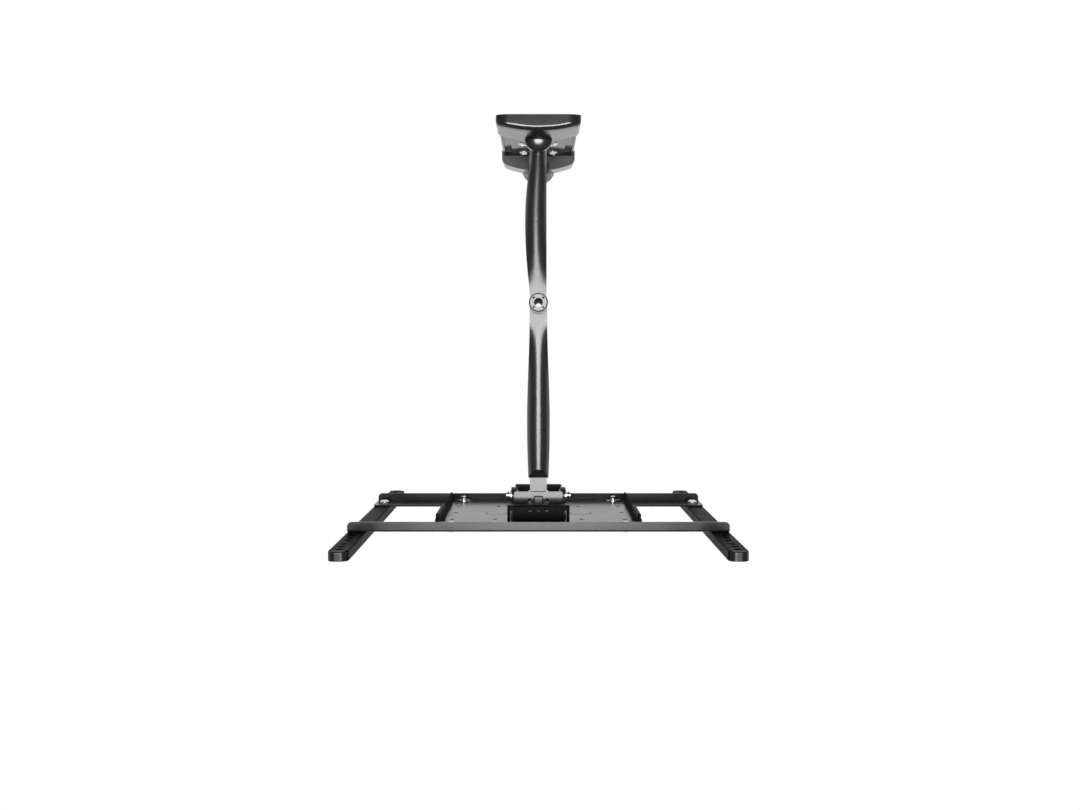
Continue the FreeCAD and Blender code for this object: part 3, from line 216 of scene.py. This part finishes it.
def coat_grain_group():
    """Orange peel, soft blotches and tiny flecks of a sprayed or moulded skin."""
    tree, start, end = new_group(
        "coat_grain",
        [
            ("Vector", "NodeSocketVector"),
            ("Peel Scale", "NodeSocketFloat"),
            ("Blotch Scale", "NodeSocketFloat"),
            ("Smooth", "NodeSocketFloat"),
            ("Rough", "NodeSocketFloat"),
            ("Dark", "NodeSocketColor"),
            ("Light", "NodeSocketColor"),
        ],
        [
            ("Color", "NodeSocketColor"),
            ("Roughness", "NodeSocketFloat"),
            ("Height", "NodeSocketFloat"),
        ],
    )
    links = tree.links
    peel = add_node(tree, "ShaderNodeTexNoise", (-500, -250))
    peel.inputs["Detail"].default_value = PEEL_DETAIL
    links.new(start.outputs["Vector"], peel.inputs["Vector"])
    links.new(start.outputs["Peel Scale"], peel.inputs["Scale"])
    blotch = add_node(tree, "ShaderNodeTexNoise", (-500, 150))
    blotch.inputs["Detail"].default_value = BLOTCH_DETAIL
    links.new(start.outputs["Vector"], blotch.inputs["Vector"])
    links.new(start.outputs["Blotch Scale"], blotch.inputs["Scale"])
    spread = add_node(tree, "ShaderNodeMapRange", (-250, 0))
    spread.inputs["From Min"].default_value = BLOTCH_SPAN[0]
    spread.inputs["From Max"].default_value = BLOTCH_SPAN[1]
    links.new(blotch.outputs["Fac"], spread.inputs["Value"])
    links.new(start.outputs["Smooth"], spread.inputs["To Min"])
    links.new(start.outputs["Rough"], spread.inputs["To Max"])
    both = add_node(tree, "ShaderNodeMath", (-250, 250), operation="MULTIPLY")
    links.new(blotch.outputs["Fac"], both.inputs[0])
    links.new(peel.outputs["Fac"], both.inputs[1])
    tone = add_node(tree, "ShaderNodeMix", (50, 250), data_type="RGBA")
    links.new(both.outputs["Value"], tone.inputs["Factor"])
    links.new(start.outputs["Dark"], tone.inputs["A"])
    links.new(start.outputs["Light"], tone.inputs["B"])
    links.new(tone.outputs["Result"], end.inputs["Color"])
    links.new(spread.outputs["Result"], end.inputs["Roughness"])
    links.new(peel.outputs["Fac"], end.inputs["Height"])
    return tree


def zone_mask_group():
    """One inside a box of the object's own coordinates, and nothing outside it."""
    labels = ("Vector", "Centre", "Half Size")
    tree, start, end = new_group(
        "zone_mask",
        [(label, "NodeSocketVector") for label in labels],
        [("Mask", "NodeSocketFloat")],
    )
    parts = []
    for label in labels:
        split = add_node(tree, "ShaderNodeSeparateXYZ", (-550, -150 * len(parts)))
        tree.links.new(start.outputs[label], split.inputs["Vector"])
        parts.append(split)
    within = []
    for axis in "XYZ":
        span = add_node(tree, "ShaderNodeMath", (-300, -200 * len(within)), operation="COMPARE")
        for entry, split in zip(span.inputs, parts):
            tree.links.new(split.outputs[axis], entry)
        within.append(span.outputs["Value"])
    flat = add_node(tree, "ShaderNodeMath", (0, 0), operation="MULTIPLY")
    tree.links.new(within[0], flat.inputs[0])
    tree.links.new(within[1], flat.inputs[1])
    solid = add_node(tree, "ShaderNodeMath", (250, 0), operation="MULTIPLY")
    tree.links.new(flat.outputs["Value"], solid.inputs[0])
    tree.links.new(within[2], solid.inputs[1])
    tree.links.new(solid.outputs["Value"], end.inputs["Mask"])
    return tree


def leaning_shade_group():
    """Normals of upright faces above a foot, as if their tops leaned back a little."""
    tree, start, end = new_group(
        "leaning_shade",
        [
            ("Vector", "NodeSocketVector"),
            ("Foot", "NodeSocketFloat"),
            ("Slope", "NodeSocketFloat"),
        ],
        [("Normal", "NodeSocketVector")],
    )
    split = add_node(tree, "ShaderNodeSeparateXYZ", (-550, 0))
    above = add_node(tree, "ShaderNodeMath", (-300, 0), operation="MAXIMUM")
    lean = add_node(tree, "ShaderNodeBump", (0, 0), invert=True)
    lean.inputs["Strength"].default_value = 1.0
    tree.links.new(start.outputs["Vector"], split.inputs["Vector"])
    tree.links.new(split.outputs["Z"], above.inputs[0])
    tree.links.new(start.outputs["Foot"], above.inputs[1])
    tree.links.new(above.outputs["Value"], lean.inputs["Height"])
    tree.links.new(start.outputs["Slope"], lean.inputs["Distance"])
    tree.links.new(lean.outputs["Normal"], end.inputs["Normal"])
    return tree


coat_grain = coat_grain_group()
zone_mask = zone_mask_group()
leaning_shade = leaning_shade_group()


# Finishes

def place_group(finish, group, place):
    """A shader group in a finish, fed with the object's own coordinates."""
    tree = finish.node_tree
    node = add_node(tree, "ShaderNodeGroup", place, node_tree=group)
    tree.links.new(tree.nodes["Texture Coordinate"].outputs["Object"], node.inputs["Vector"])
    return node


def coated_finish(name, tones, grain_mm, rough, bump_mm, metallic=0.0, gloss=0.5, edge_mm=0.0):
    """Skin with a fine peel: paint, moulded plastic or plating; sheet also gets soft edges."""
    finish = bpy.data.materials.new(name)
    finish.use_nodes = True
    tree = finish.node_tree
    shader = tree.nodes["Principled BSDF"]
    add_node(tree, "ShaderNodeTexCoord", (-900, 0))
    grain = place_group(finish, coat_grain, (-600, 0))
    peel_mm, blotch_mm = grain_mm
    grain.inputs["Peel Scale"].default_value = 1.0 / (peel_mm * MM)
    grain.inputs["Blotch Scale"].default_value = 1.0 / (blotch_mm * MM)
    grain.inputs["Smooth"].default_value = rough[0]
    grain.inputs["Rough"].default_value = rough[1]
    grain.inputs["Dark"].default_value = (*tones[0], 1.0)
    grain.inputs["Light"].default_value = (*tones[1], 1.0)
    tree.links.new(grain.outputs["Color"], shader.inputs["Base Color"])
    tree.links.new(grain.outputs["Roughness"], shader.inputs["Roughness"])
    bump = add_node(tree, "ShaderNodeBump", (-300, -250))
    if edge_mm:
        edge = add_node(tree, "ShaderNodeBevel", (-600, -350), samples=EDGE_SAMPLES)
        edge.inputs["Radius"].default_value = edge_mm * MM
        tree.links.new(edge.outputs["Normal"], bump.inputs["Normal"])
    bump.inputs["Strength"].default_value = 1.0
    bump.inputs["Distance"].default_value = bump_mm * MM
    tree.links.new(grain.outputs["Height"], bump.inputs["Height"])
    tree.links.new(bump.outputs["Normal"], shader.inputs["Normal"])
    shader.inputs["Metallic"].default_value = metallic
    shader.inputs["Specular IOR Level"].default_value = gloss
    return finish


def sheet_coat(name, rough, bump_mm=0.001, tones=COAT_TONES, gloss=0.5, edge_mm=SHEET_EDGE_MM):
    """Powder coat on pressed sheet."""
    return coated_finish(name, tones, SHEET_GRAIN_MM, rough, bump_mm, gloss=gloss, edge_mm=edge_mm)


def moulded_black(name, rough, bump_mm=0.0002, tones=PLASTIC_TONES, gloss=0.8):
    """Black plastic from a mould."""
    return coated_finish(name, tones, PLASTIC_GRAIN_MM, rough, bump_mm, gloss=gloss)


def zone_of(finish, spans):
    """Mask of a finish inside the spans of the named axes."""
    zone = place_group(finish, zone_mask, (-600, -100 * len(finish.node_tree.nodes)))
    for k, axis in enumerate("XYZ"):
        low, high = spans.get(axis, ANYWHERE)
        zone.inputs["Centre"].default_value[k] = 0.5 * (low + high)
        zone.inputs["Half Size"].default_value[k] = 0.5 * (high - low)
    return zone.outputs["Mask"]


def roughen(finish, rough, **spans):
    """Another roughness inside a zone, as on cut edges or a textured face."""
    tree = finish.node_tree
    entry = tree.nodes["Principled BSDF"].inputs["Roughness"]
    before = entry.links[0].from_socket
    blend = add_node(tree, "ShaderNodeMix", (-300, -500))
    blend.inputs["B"].default_value = rough
    tree.links.new(zone_of(finish, spans), blend.inputs["Factor"])
    tree.links.new(before, blend.inputs["A"])
    tree.links.new(blend.outputs["Result"], entry)


def lacquer(finish, rough, **spans):
    """A clear coat inside a zone."""
    shader = finish.node_tree.nodes["Principled BSDF"]
    finish.node_tree.links.new(zone_of(finish, spans), shader.inputs["Coat Weight"])
    shader.inputs["Coat Roughness"].default_value = rough


def leaning_coat(name, foot):
    """Glossy coat of the wall parts, with their leaning shade above a foot."""
    finish = sheet_coat(name, rough=(0.12, 0.16), bump_mm=0.0003, gloss=1.0, edge_mm=0.0)
    tree = finish.node_tree
    lean = place_group(finish, leaning_shade, (-600, -450))
    lean.inputs["Foot"].default_value = foot
    lean.inputs["Slope"].default_value = math.tan(math.radians(WALL_LEAN_DEG))
    tree.links.new(lean.outputs["Normal"], tree.nodes["Bump"].inputs["Normal"])
    return finish


foot_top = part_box("bottom_cover")[1].z
bracket_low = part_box("shoulder_bracket")[0]
wall_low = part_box("wall_plate")[0]
plate_low, plate_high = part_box("vesa_plate")
bar_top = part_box("left_bar")[1].z

powder_coat = sheet_coat("satin_powder_coat", rough=(0.16, 0.20))
front_rail_coat = sheet_coat("front_rail_powder_coat", rough=(0.16, 0.20), gloss=0.38)
rail_coat = sheet_coat("rail_powder_coat", rough=(0.20, 0.24), gloss=0.09)
bracket_coat = leaning_coat("bracket_powder_coat", foot_top)
roughen(bracket_coat, LOWER_EAR_ROUGH, Z=(bracket_low.z, foot_top))
wall_coat = leaning_coat("wall_powder_coat", wall_low.z)
roughen(wall_coat, MATT, Y=(wall_low.y, -CUT_SKIN), Z=(wall_low.z, foot_top + FOOT_SHADE))
plate_coat = sheet_coat("plate_powder_coat", rough=(0.16, 0.20), gloss=0.21)
roughen(plate_coat, MATT, Y=(plate_low.y + CUT_SKIN, plate_low.y + PLATE_SHEET - CUT_SKIN))
roughen(plate_coat, MATT, X=(plate_low.x, plate_low.x + PLATE_SHEET + CUT_SKIN))
roughen(plate_coat, MATT, X=(plate_high.x - PLATE_SHEET - CUT_SKIN, plate_high.x))
# The bars get a darker, almost glossless copy of the powder coat, as painted shade; only their upper ends
# keep a clear coat
shaded_bar_coat = sheet_coat("bar_painted_shade_coat", rough=(0.32, 0.38), bump_mm=0.004, tones=BAR_SHADED_TONES, gloss=0.006)
lacquer(shaded_bar_coat, BAR_END_ROUGH, Z=(bar_top - BAR_END_GLOSS, bar_top))
cover_black = moulded_black("top_cover_plastic", rough=(0.19, 0.22), bump_mm=0.0001)
foot_black = moulded_black("foot_cover_plastic", rough=(0.09, 0.12))
roughen(foot_black, FOOT_TOP_ROUGH, Z=(foot_top - CUT_SKIN, foot_top + CUT_SKIN))
roof_black = moulded_black("deep_black_plastic", rough=(0.45, 0.52), tones=ROOF_TONES, gloss=0.05)
casting_paint = coated_finish(
    "smooth_casting_paint", PAINT_TONES, CAST_GRAIN_MM, rough=(0.25, 0.28), bump_mm=0.0002, gloss=0.72)
dark_nylon = coated_finish(
    "dark_nylon", NYLON_TONES, NYLON_GRAIN_MM, rough=(0.42, 0.52), bump_mm=0.01)
turned_black = coated_finish(
    "turned_black_steel", PAINT_TONES, TURNED_GRAIN_MM, rough=(0.11, 0.15), bump_mm=0.0006)
# The sleeve gets a near-black, rough coat: painted shade for the deep bore of the elbow
bore_shade_black = coated_finish(
    "bore_painted_shade_steel", BORE_SHADE_TONES, BORE_GRAIN_MM, rough=(0.50, 0.60), bump_mm=0.004, gloss=0.1)
bright_zinc = coated_finish(
    "bright_zinc", ZINC_TONES, ZINC_GRAIN_MM, rough=(0.24, 0.38), bump_mm=0.004, metallic=1.0)
black_oxide = coated_finish(
    "black_oxide_steel", OXIDE_TONES, OXIDE_GRAIN_MM, rough=(0.28, 0.36), bump_mm=0.006)

SLOT_FINISH = {
    "black_steel": powder_coat,
    "black_casting": casting_paint,
    "black_plastic": cover_black,
    "nylon": dark_nylon,
    "satin_ring": turned_black,
    "zinc_plate": bright_zinc,
    "black_bolt": black_oxide,
}
OWN_FINISH = {
    "wall_plate": wall_coat,
    "shoulder_bracket": bracket_coat,
    "vesa_plate": plate_coat,
    "upper_rail": front_rail_coat,
    "lower_rail": rail_coat,
    "left_bar": shaded_bar_coat,
    "right_bar": shaded_bar_coat,
    "head_cover": roof_black,
    "left_clip": roof_black,
    "right_clip": roof_black,
    "bottom_cover": foot_black,
    "elbow_sleeve": bore_shade_black,
}


def dress_nodes():
    """Every node of the frame gets the finish of its slot, or one of its own."""
    for name, node in nodes.items():
        for holder in node.material_slots:
            holder.material = OWN_FINISH.get(name, SLOT_FINISH[holder.material.name])


dress_nodes()


# Screws and nuts, each modelled once upright at the origin with its seat at z = 0

def lone(piece):
    """Only this piece selected and active."""
    bpy.ops.object.select_all(action="DESELECT")
    piece.select_set(True)
    bpy.context.view_layer.objects.active = piece


def apply_place():
    """The place, turn and scale of what is selected go into its mesh."""
    bpy.ops.object.transform_apply(location=True, rotation=True, scale=True)


def add_bar(name, sides, radius, low, high):
    """Upright bar of round or hexagon stock between two heights."""
    bpy.ops.object.select_all(action="DESELECT")
    bpy.ops.mesh.primitive_cylinder_add(
        vertices=sides, radius=radius, depth=high - low, location=(0.0, 0.0, 0.5 * (low + high)))
    bar = bpy.context.object
    bar.name = name
    apply_place()
    return bar


def leave_edit():
    """Back to object mode."""
    bpy.ops.object.mode_set(mode="OBJECT")


def pick_end(piece, up):
    """Edit mode with only the topmost or the lowest flat end selected."""
    lone(piece)
    bpy.ops.object.mode_set(mode="EDIT")
    bpy.ops.mesh.select_mode(type="FACE")
    bpy.ops.mesh.select_all(action="DESELECT")
    leave_edit()
    way = 1.0 if up else -1.0
    level = max(way * face.center.z for face in piece.data.polygons) - LEVEL_SKIN
    for face in piece.data.polygons:
        face.select = way * face.normal.z > UPRIGHT_COSINE and way * face.center.z > level
    bpy.ops.object.mode_set(mode="EDIT")


def grow_end(rise, spread=1.0):
    """Extrude the picked end, and widen or narrow it."""
    bpy.ops.mesh.extrude_region_move(TRANSFORM_OT_translate={"value": (0.0, 0.0, rise)})
    bpy.ops.transform.resize(value=(spread, spread, 1.0))


def carve(piece, cutter, way="DIFFERENCE"):
    """Cut a piece with a second one, or keep only what both share."""
    lone(piece)
    knife = piece.modifiers.new("carve", "BOOLEAN")
    knife.operation = way
    knife.solver = "EXACT"
    knife.object = cutter
    bpy.ops.object.modifier_apply(modifier=knife.name)
    bpy.data.objects.remove(cutter, do_unlink=True)


def cross_blade(turn, long, wide, low, high):
    """One tapered blade of a cross-head driver."""
    bpy.ops.object.select_all(action="DESELECT")
    bpy.ops.mesh.primitive_cube_add(size=1.0, location=(0.0, 0.0, 0.5 * (low + high)))
    blade = bpy.context.object
    blade.scale = (long, wide, high - low)
    blade.rotation_euler = (0.0, 0.0, turn)
    apply_place()
    pick_end(blade, False)
    bpy.ops.transform.resize(value=(CROSS_TAPER, CROSS_TAPER, 1.0))
    leave_edit()
    return blade


def round_screw(head_r, length, socket):
    """Domed screw turned from one bar, with a hexagon socket or a cross in its head."""
    screw = add_bar("round_screw", SCREW_SIDES, SCREW_SHANK_R, SCREW_TIP - length, 0.0)
    pick_end(screw, False)
    bpy.ops.mesh.inset(thickness=SCREW_TIP, depth=SCREW_TIP)
    leave_edit()
    pick_end(screw, True)
    grow_end(0.0, head_r / SCREW_SHANK_R)
    rim = HEAD_RIM * SCREW_HEAD
    grow_end(rim)
    rise = SCREW_HEAD - rim
    ball = (head_r * head_r + rise * rise) / (2.0 * rise)
    sweep = math.asin(head_r / ball)
    for k in range(DOME_RINGS, 1, -1):
        here = sweep * k / DOME_RINGS
        there = sweep * (k - 1) / DOME_RINGS
        step = ball * (math.sin(here) - math.sin(there))
        bpy.ops.mesh.inset(thickness=step, depth=ball * (math.cos(there) - math.cos(here)))
    leave_edit()
    top = SCREW_HEAD + OVERCUT
    if socket:
        key = add_bar("key", HEXAGON_SIDES, SOCKET_WIDE * head_r, SOCKET_FLOOR * SCREW_HEAD, top)
        carve(screw, key)
        return screw
    for turn in (0.0, QUARTER):
        blade = cross_blade(turn, CROSS_LONG * head_r, CROSS_WIDE * head_r, CROSS_FLOOR * SCREW_HEAD, top)
        carve(screw, blade)
    return screw


def lock_nut(flats, height, bore):
    """Hexagon nut whose rolled collar holds a nylon ring."""
    across = 0.5 * flats
    body = NUT_BODY * height
    collar = height - body
    crown = NUT_CROWN * across
    nut = add_bar("lock_nut", HEXAGON_SIDES, across / HEXAGON_COSINE, 0.0, body)
    bpy.ops.object.select_all(action="DESELECT")
    bpy.ops.mesh.primitive_cone_add(
        vertices=SCREW_SIDES, radius1=crown + CROWN_FLARE * body, radius2=crown,
        depth=body, location=(0.0, 0.0, 0.5 * body))
    carve(nut, bpy.context.object, "INTERSECT")
    pick_end(nut, True)
    bpy.ops.mesh.inset(thickness=COLLAR_INSET * across)
    for share, narrowing in COLLAR_STEPS:
        grow_end(share * collar, narrowing)
    bpy.ops.mesh.inset(thickness=COLLAR_INSET * across)
    grow_end(COLLAR_DIP[0] * collar, COLLAR_DIP[1])
    leave_edit()
    carve(nut, add_bar("drill", SCREW_SIDES, bore, -OVERCUT, height + OVERCUT))
    return nut


def nylon_ring(flats, height, bore):
    """Ring that lies under the rolled lip of a lock nut."""
    across = 0.5 * flats
    ring = add_bar("nylon_ring", SCREW_SIDES, RING_WIDE * across, RING_LOW * height, RING_HIGH * height)
    pick_end(ring, True)
    bpy.ops.mesh.inset(thickness=RING_EDGE * across, depth=RING_CROWN * height)
    leave_edit()
    carve(ring, add_bar("drill", SCREW_SIDES, RING_BITE * bore, 0.0, height + OVERCUT))
    return ring


def ring_nut():
    """Ring nut of the elbow: a lip over the sleeve, a broad chamfer and spanner holes."""
    top = ELBOW_NUT_HIGH
    nut = add_bar("ring_nut", ELBOW_NUT_SIDES, ELBOW_NUT_R, 0.0, top - ELBOW_NUT_CHAMFER)
    pick_end(nut, True)
    bpy.ops.mesh.inset(thickness=ELBOW_NUT_CHAMFER, depth=ELBOW_NUT_CHAMFER)
    leave_edit()
    carve(nut, add_bar("seat_drill", ELBOW_BORE_SIDES, ELBOW_NUT_SEAT_R, -OVERCUT, top - ELBOW_NUT_LIP))
    carve(nut, add_bar("bore_drill", ELBOW_BORE_SIDES, ELBOW_NUT_BORE_R, -OVERCUT, top + OVERCUT))
    for k in range(SPANNER_HOLES):
        turn = math.radians(SPANNER_FIRST_DEG + 360.0 * k / SPANNER_HOLES)
        floor = top - SPANNER_HOLE_DEEP
        drill = add_bar("spanner_drill", SPANNER_SIDES, SPANNER_HOLE_R, floor, top + OVERCUT)
        pick_end(drill, False)
        grow_end(-DRILL_POINT, DRILL_POINT_WIDE)
        leave_edit()
        drill.location = (SPANNER_CIRCLE_R * math.cos(turn), SPANNER_CIRCLE_R * math.sin(turn), 0.0)
        apply_place()
        carve(nut, drill)
    return nut


def set_out(model, name, places, finish, slot, body, *stands_for):
    """Copies of a model at their places, joined into one piece on a body."""
    copies = []
    for place, turn in places:
        copy = model.copy()
        copy.data = model.data.copy()
        copy.location = place
        copy.rotation_euler = turn
        bpy.context.scene.collection.objects.link(copy)
        copies.append(copy)
    lone(copies[0])
    for copy in copies:
        copy.select_set(True)
    apply_place()
    if len(copies) > 1:
        bpy.ops.object.join()
    piece = bpy.context.object
    piece.name = name
    bpy.ops.object.shade_smooth_by_angle(angle=math.radians(SMOOTH_DEG))
    piece.data.materials.clear()
    piece.data.materials.append(finish)
    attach(piece, body)
    if stands_for:
        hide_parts(*stands_for)
    bpy.data.objects.remove(model, do_unlink=True)


def four_corners(nuts, seat, turn):
    """Places on the four small nuts of a node, at the depth of a seat."""
    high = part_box(nuts)[1]
    across = 0.5 * SMALL_NUT[0]
    x = high.x - across / HEXAGON_COSINE
    z = high.z - across
    return [((sx * x, seat, sz * z), turn) for sx in (-1, 1) for sz in (-1, 1)]


def on_axis(node, seat, turn):
    """The one place on a node's upright axis, at the height of a seat."""
    low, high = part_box(node)
    return [((0.5 * (low.x + high.x), 0.5 * (low.y + high.y), seat), turn)]


def bracket_screws():
    """Cross-head screws in two columns, from the top row to the lowest."""
    low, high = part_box("bracket_screws")
    x = high.x - WALL_SCREW_R
    seat = high.y - WALL_SCREW_LONG
    top = high.z - WALL_SCREW_R
    foot = low.z + WALL_SCREW_R
    rows = (top, 0.5 * (top + foot), foot)
    places = [((sx * x, seat, z), TO_SCREEN) for sx in (-1, 1) for z in rows]
    screw = round_screw(WALL_SCREW_R, WALL_SCREW_LONG, False)
    set_out(screw, "cross_head_screws", places, bright_zinc, "zinc_plate", "wall", "bracket_screws")


def frame_screws():
    """Socket screws that hold the rails on the plate and the bars on the rails."""
    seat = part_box("plate_bolts")[1].y - RAIL_SCREW_LONG
    places = four_corners("plate_nuts", seat, TO_SCREEN)
    screw = round_screw(FRAME_SCREW_R, RAIL_SCREW_LONG, True)
    set_out(screw, "rail_screws", places, bright_zinc, "zinc_plate", "screen_frame", "plate_bolts")
    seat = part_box("bar_bolts")[0].y + BAR_SCREW_LONG
    places = four_corners("bar_nuts", seat, TO_WALL)
    screw = round_screw(FRAME_SCREW_R, BAR_SCREW_LONG, True)
    set_out(screw, "bar_screws", places, bright_zinc, "zinc_plate", "screen_frame", "bar_bolts")


def nut_set(name, node, body, size, places):
    """Lock nuts that stand for a node, and their nylon rings."""
    set_out(lock_nut(*size), name, places, bright_zinc, "zinc_plate", body, node)
    set_out(nylon_ring(*size), name + "_rings", places, dark_nylon, "nylon", body)


def lock_nuts():
    """All the lock nuts, each on the seat of its node."""
    places = four_corners("plate_nuts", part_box("plate_nuts")[0].y, TO_WALL)
    nut_set("rail_nuts", "plate_nuts", "screen_frame", SMALL_NUT, places)
    places = four_corners("bar_nuts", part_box("bar_nuts")[1].y, TO_SCREEN)
    nut_set("bar_lock_nuts", "bar_nuts", "screen_frame", SMALL_NUT, places)
    low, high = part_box("tilt_nuts")
    y = 0.5 * (low.y + high.y)
    z = 0.5 * (low.z + high.z)
    places = [((high.x - TILT_NUT[1], y, z), TO_RIGHT), ((low.x + TILT_NUT[1], y, z), TO_LEFT)]
    nut_set("tilt_lock_nuts", "tilt_nuts", "swivel_head", TILT_NUT, places)
    places = on_axis("swivel_nut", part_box("swivel_nut")[1].z, DOWN)
    nut_set("swivel_lock_nut", "swivel_nut", "swivel_head", SWIVEL_NUT, places)
    places = on_axis("shoulder_nut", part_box("shoulder_nut")[1].z, DOWN)
    nut_set("shoulder_lock_nut", "shoulder_nut", "wall", SHOULDER_NUT, places)


def elbow_nut():
    """The ring nut on the axis of the elbow's sleeve."""
    places = on_axis("elbow_sleeve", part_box("elbow_ring_nut")[0].z, UP)
    nut = ring_nut()
    set_out(nut, "chamfered_ring_nut", places, turned_black, "satin_ring", "inner_arm", "elbow_ring_nut")


bracket_screws()
frame_screws()
lock_nuts()
elbow_nut()


# Studio

def seen_rays(tree):
    """One for rays from the camera, or mirrored or passed through by the arm."""
    path = add_node(tree, "ShaderNodeLightPath", (-700, 300))
    first = add_node(tree, "ShaderNodeMath", (-450, 300), operation="MAXIMUM")
    second = add_node(tree, "ShaderNodeMath", (-250, 300), operation="MAXIMUM")
    tree.links.new(path.outputs["Is Camera Ray"], first.inputs[0])
    tree.links.new(path.outputs["Is Glossy Ray"], first.inputs[1])
    tree.links.new(first.outputs["Value"], second.inputs[0])
    tree.links.new(path.outputs["Is Transmission Ray"], second.inputs[1])
    return second.outputs["Value"]


def studio_floor():
    """Plain white floor below the arm."""
    low = cad_low.z - FLOOR_DROP
    bpy.ops.object.select_all(action="DESELECT")
    bpy.ops.mesh.primitive_plane_add(size=FLOOR_SPAN, location=(0.0, 0.0, low))
    floor = bpy.context.object
    floor.name = "studio_floor"
    paper = bpy.data.materials.new("white_paper")
    paper.use_nodes = True
    tree = paper.node_tree
    tree.nodes.clear()
    matt = add_node(tree, "ShaderNodeBsdfDiffuse", (-250, 100))
    matt.inputs["Color"].default_value = (PAPER_TONE, PAPER_TONE, PAPER_TONE, 1.0)
    glow = add_node(tree, "ShaderNodeEmission", (-250, -50))
    glow.inputs["Color"].default_value = (1.0, 1.0, 1.0, 1.0)
    mix = add_node(tree, "ShaderNodeMixShader", (0, 100))
    out = add_node(tree, "ShaderNodeOutputMaterial", (250, 100))
    tree.links.new(seen_rays(tree), mix.inputs["Fac"])
    tree.links.new(matt.outputs["BSDF"], mix.inputs[1])
    tree.links.new(glow.outputs["Emission"], mix.inputs[2])
    tree.links.new(mix.outputs["Shader"], out.inputs["Surface"])
    floor.data.materials.append(paper)


def studio_world():
    """Pale wall round the horizon, dim ceiling, white to the camera."""
    world = bpy.data.worlds.new("studio")
    bpy.context.scene.world = world
    world.use_nodes = True
    tree = world.node_tree
    tree.nodes.clear()
    place = add_node(tree, "ShaderNodeTexCoord", (-900, 0))
    split = add_node(tree, "ShaderNodeSeparateXYZ", (-700, 0))
    climb = add_node(tree, "ShaderNodeMapRange", (-500, 0), interpolation_type="SMOOTHSTEP")
    climb.inputs["From Min"].default_value = HORIZON_SINE
    climb.inputs["From Max"].default_value = CEILING_SINE
    climb.inputs["To Min"].default_value = HORIZON_TONE
    climb.inputs["To Max"].default_value = CEILING_TONE
    path = add_node(tree, "ShaderNodeLightPath", (-500, 300))
    either = add_node(tree, "ShaderNodeMath", (-250, 100), operation="MAXIMUM")
    back = add_node(tree, "ShaderNodeBackground", (0, 0))
    out = add_node(tree, "ShaderNodeOutputWorld", (250, 0))
    tree.links.new(place.outputs["Generated"], split.inputs["Vector"])
    tree.links.new(split.outputs["Z"], climb.inputs["Value"])
    tree.links.new(climb.outputs["Result"], either.inputs[0])
    tree.links.new(path.outputs["Is Camera Ray"], either.inputs[1])
    tree.links.new(either.outputs["Value"], back.inputs["Strength"])
    tree.links.new(back.outputs["Background"], out.inputs["Surface"])


def softbox():
    """One broad lamp straight above, long across the arm."""
    lamp = bpy.data.lights.new("softbox", "AREA")
    lamp.shape = "ELLIPSE"
    lamp.size = SOFTBOX_WIDE
    lamp.size_y = SOFTBOX_LONG
    lamp.energy = SOFTBOX_WATTS
    holder = bpy.data.objects.new("softbox", lamp)
    holder.location = SOFTBOX_PLACE
    bpy.context.scene.collection.objects.link(holder)


def photo_camera():
    """The camera, with the sideways shift of the photograph's framing."""
    camera = bpy.data.cameras.new("photo_camera")
    camera.lens = LENS_MM
    camera.sensor_width = SENSOR_MM
    camera.shift_x = (0.5 * PHOTO_WIDTH - CENTRELINE_PIXEL) / PHOTO_WIDTH
    holder = bpy.data.objects.new("photo_camera", camera)
    holder.location = CAMERA_PLACE
    holder.rotation_euler = (math.radians(CAMERA_LEAN_DEG), 0.0, 0.0)
    bpy.context.scene.collection.objects.link(holder)
    bpy.context.scene.camera = holder


studio_floor()
studio_world()
softbox()
photo_camera()
bpy.context.scene.view_settings.view_transform = "Standard"
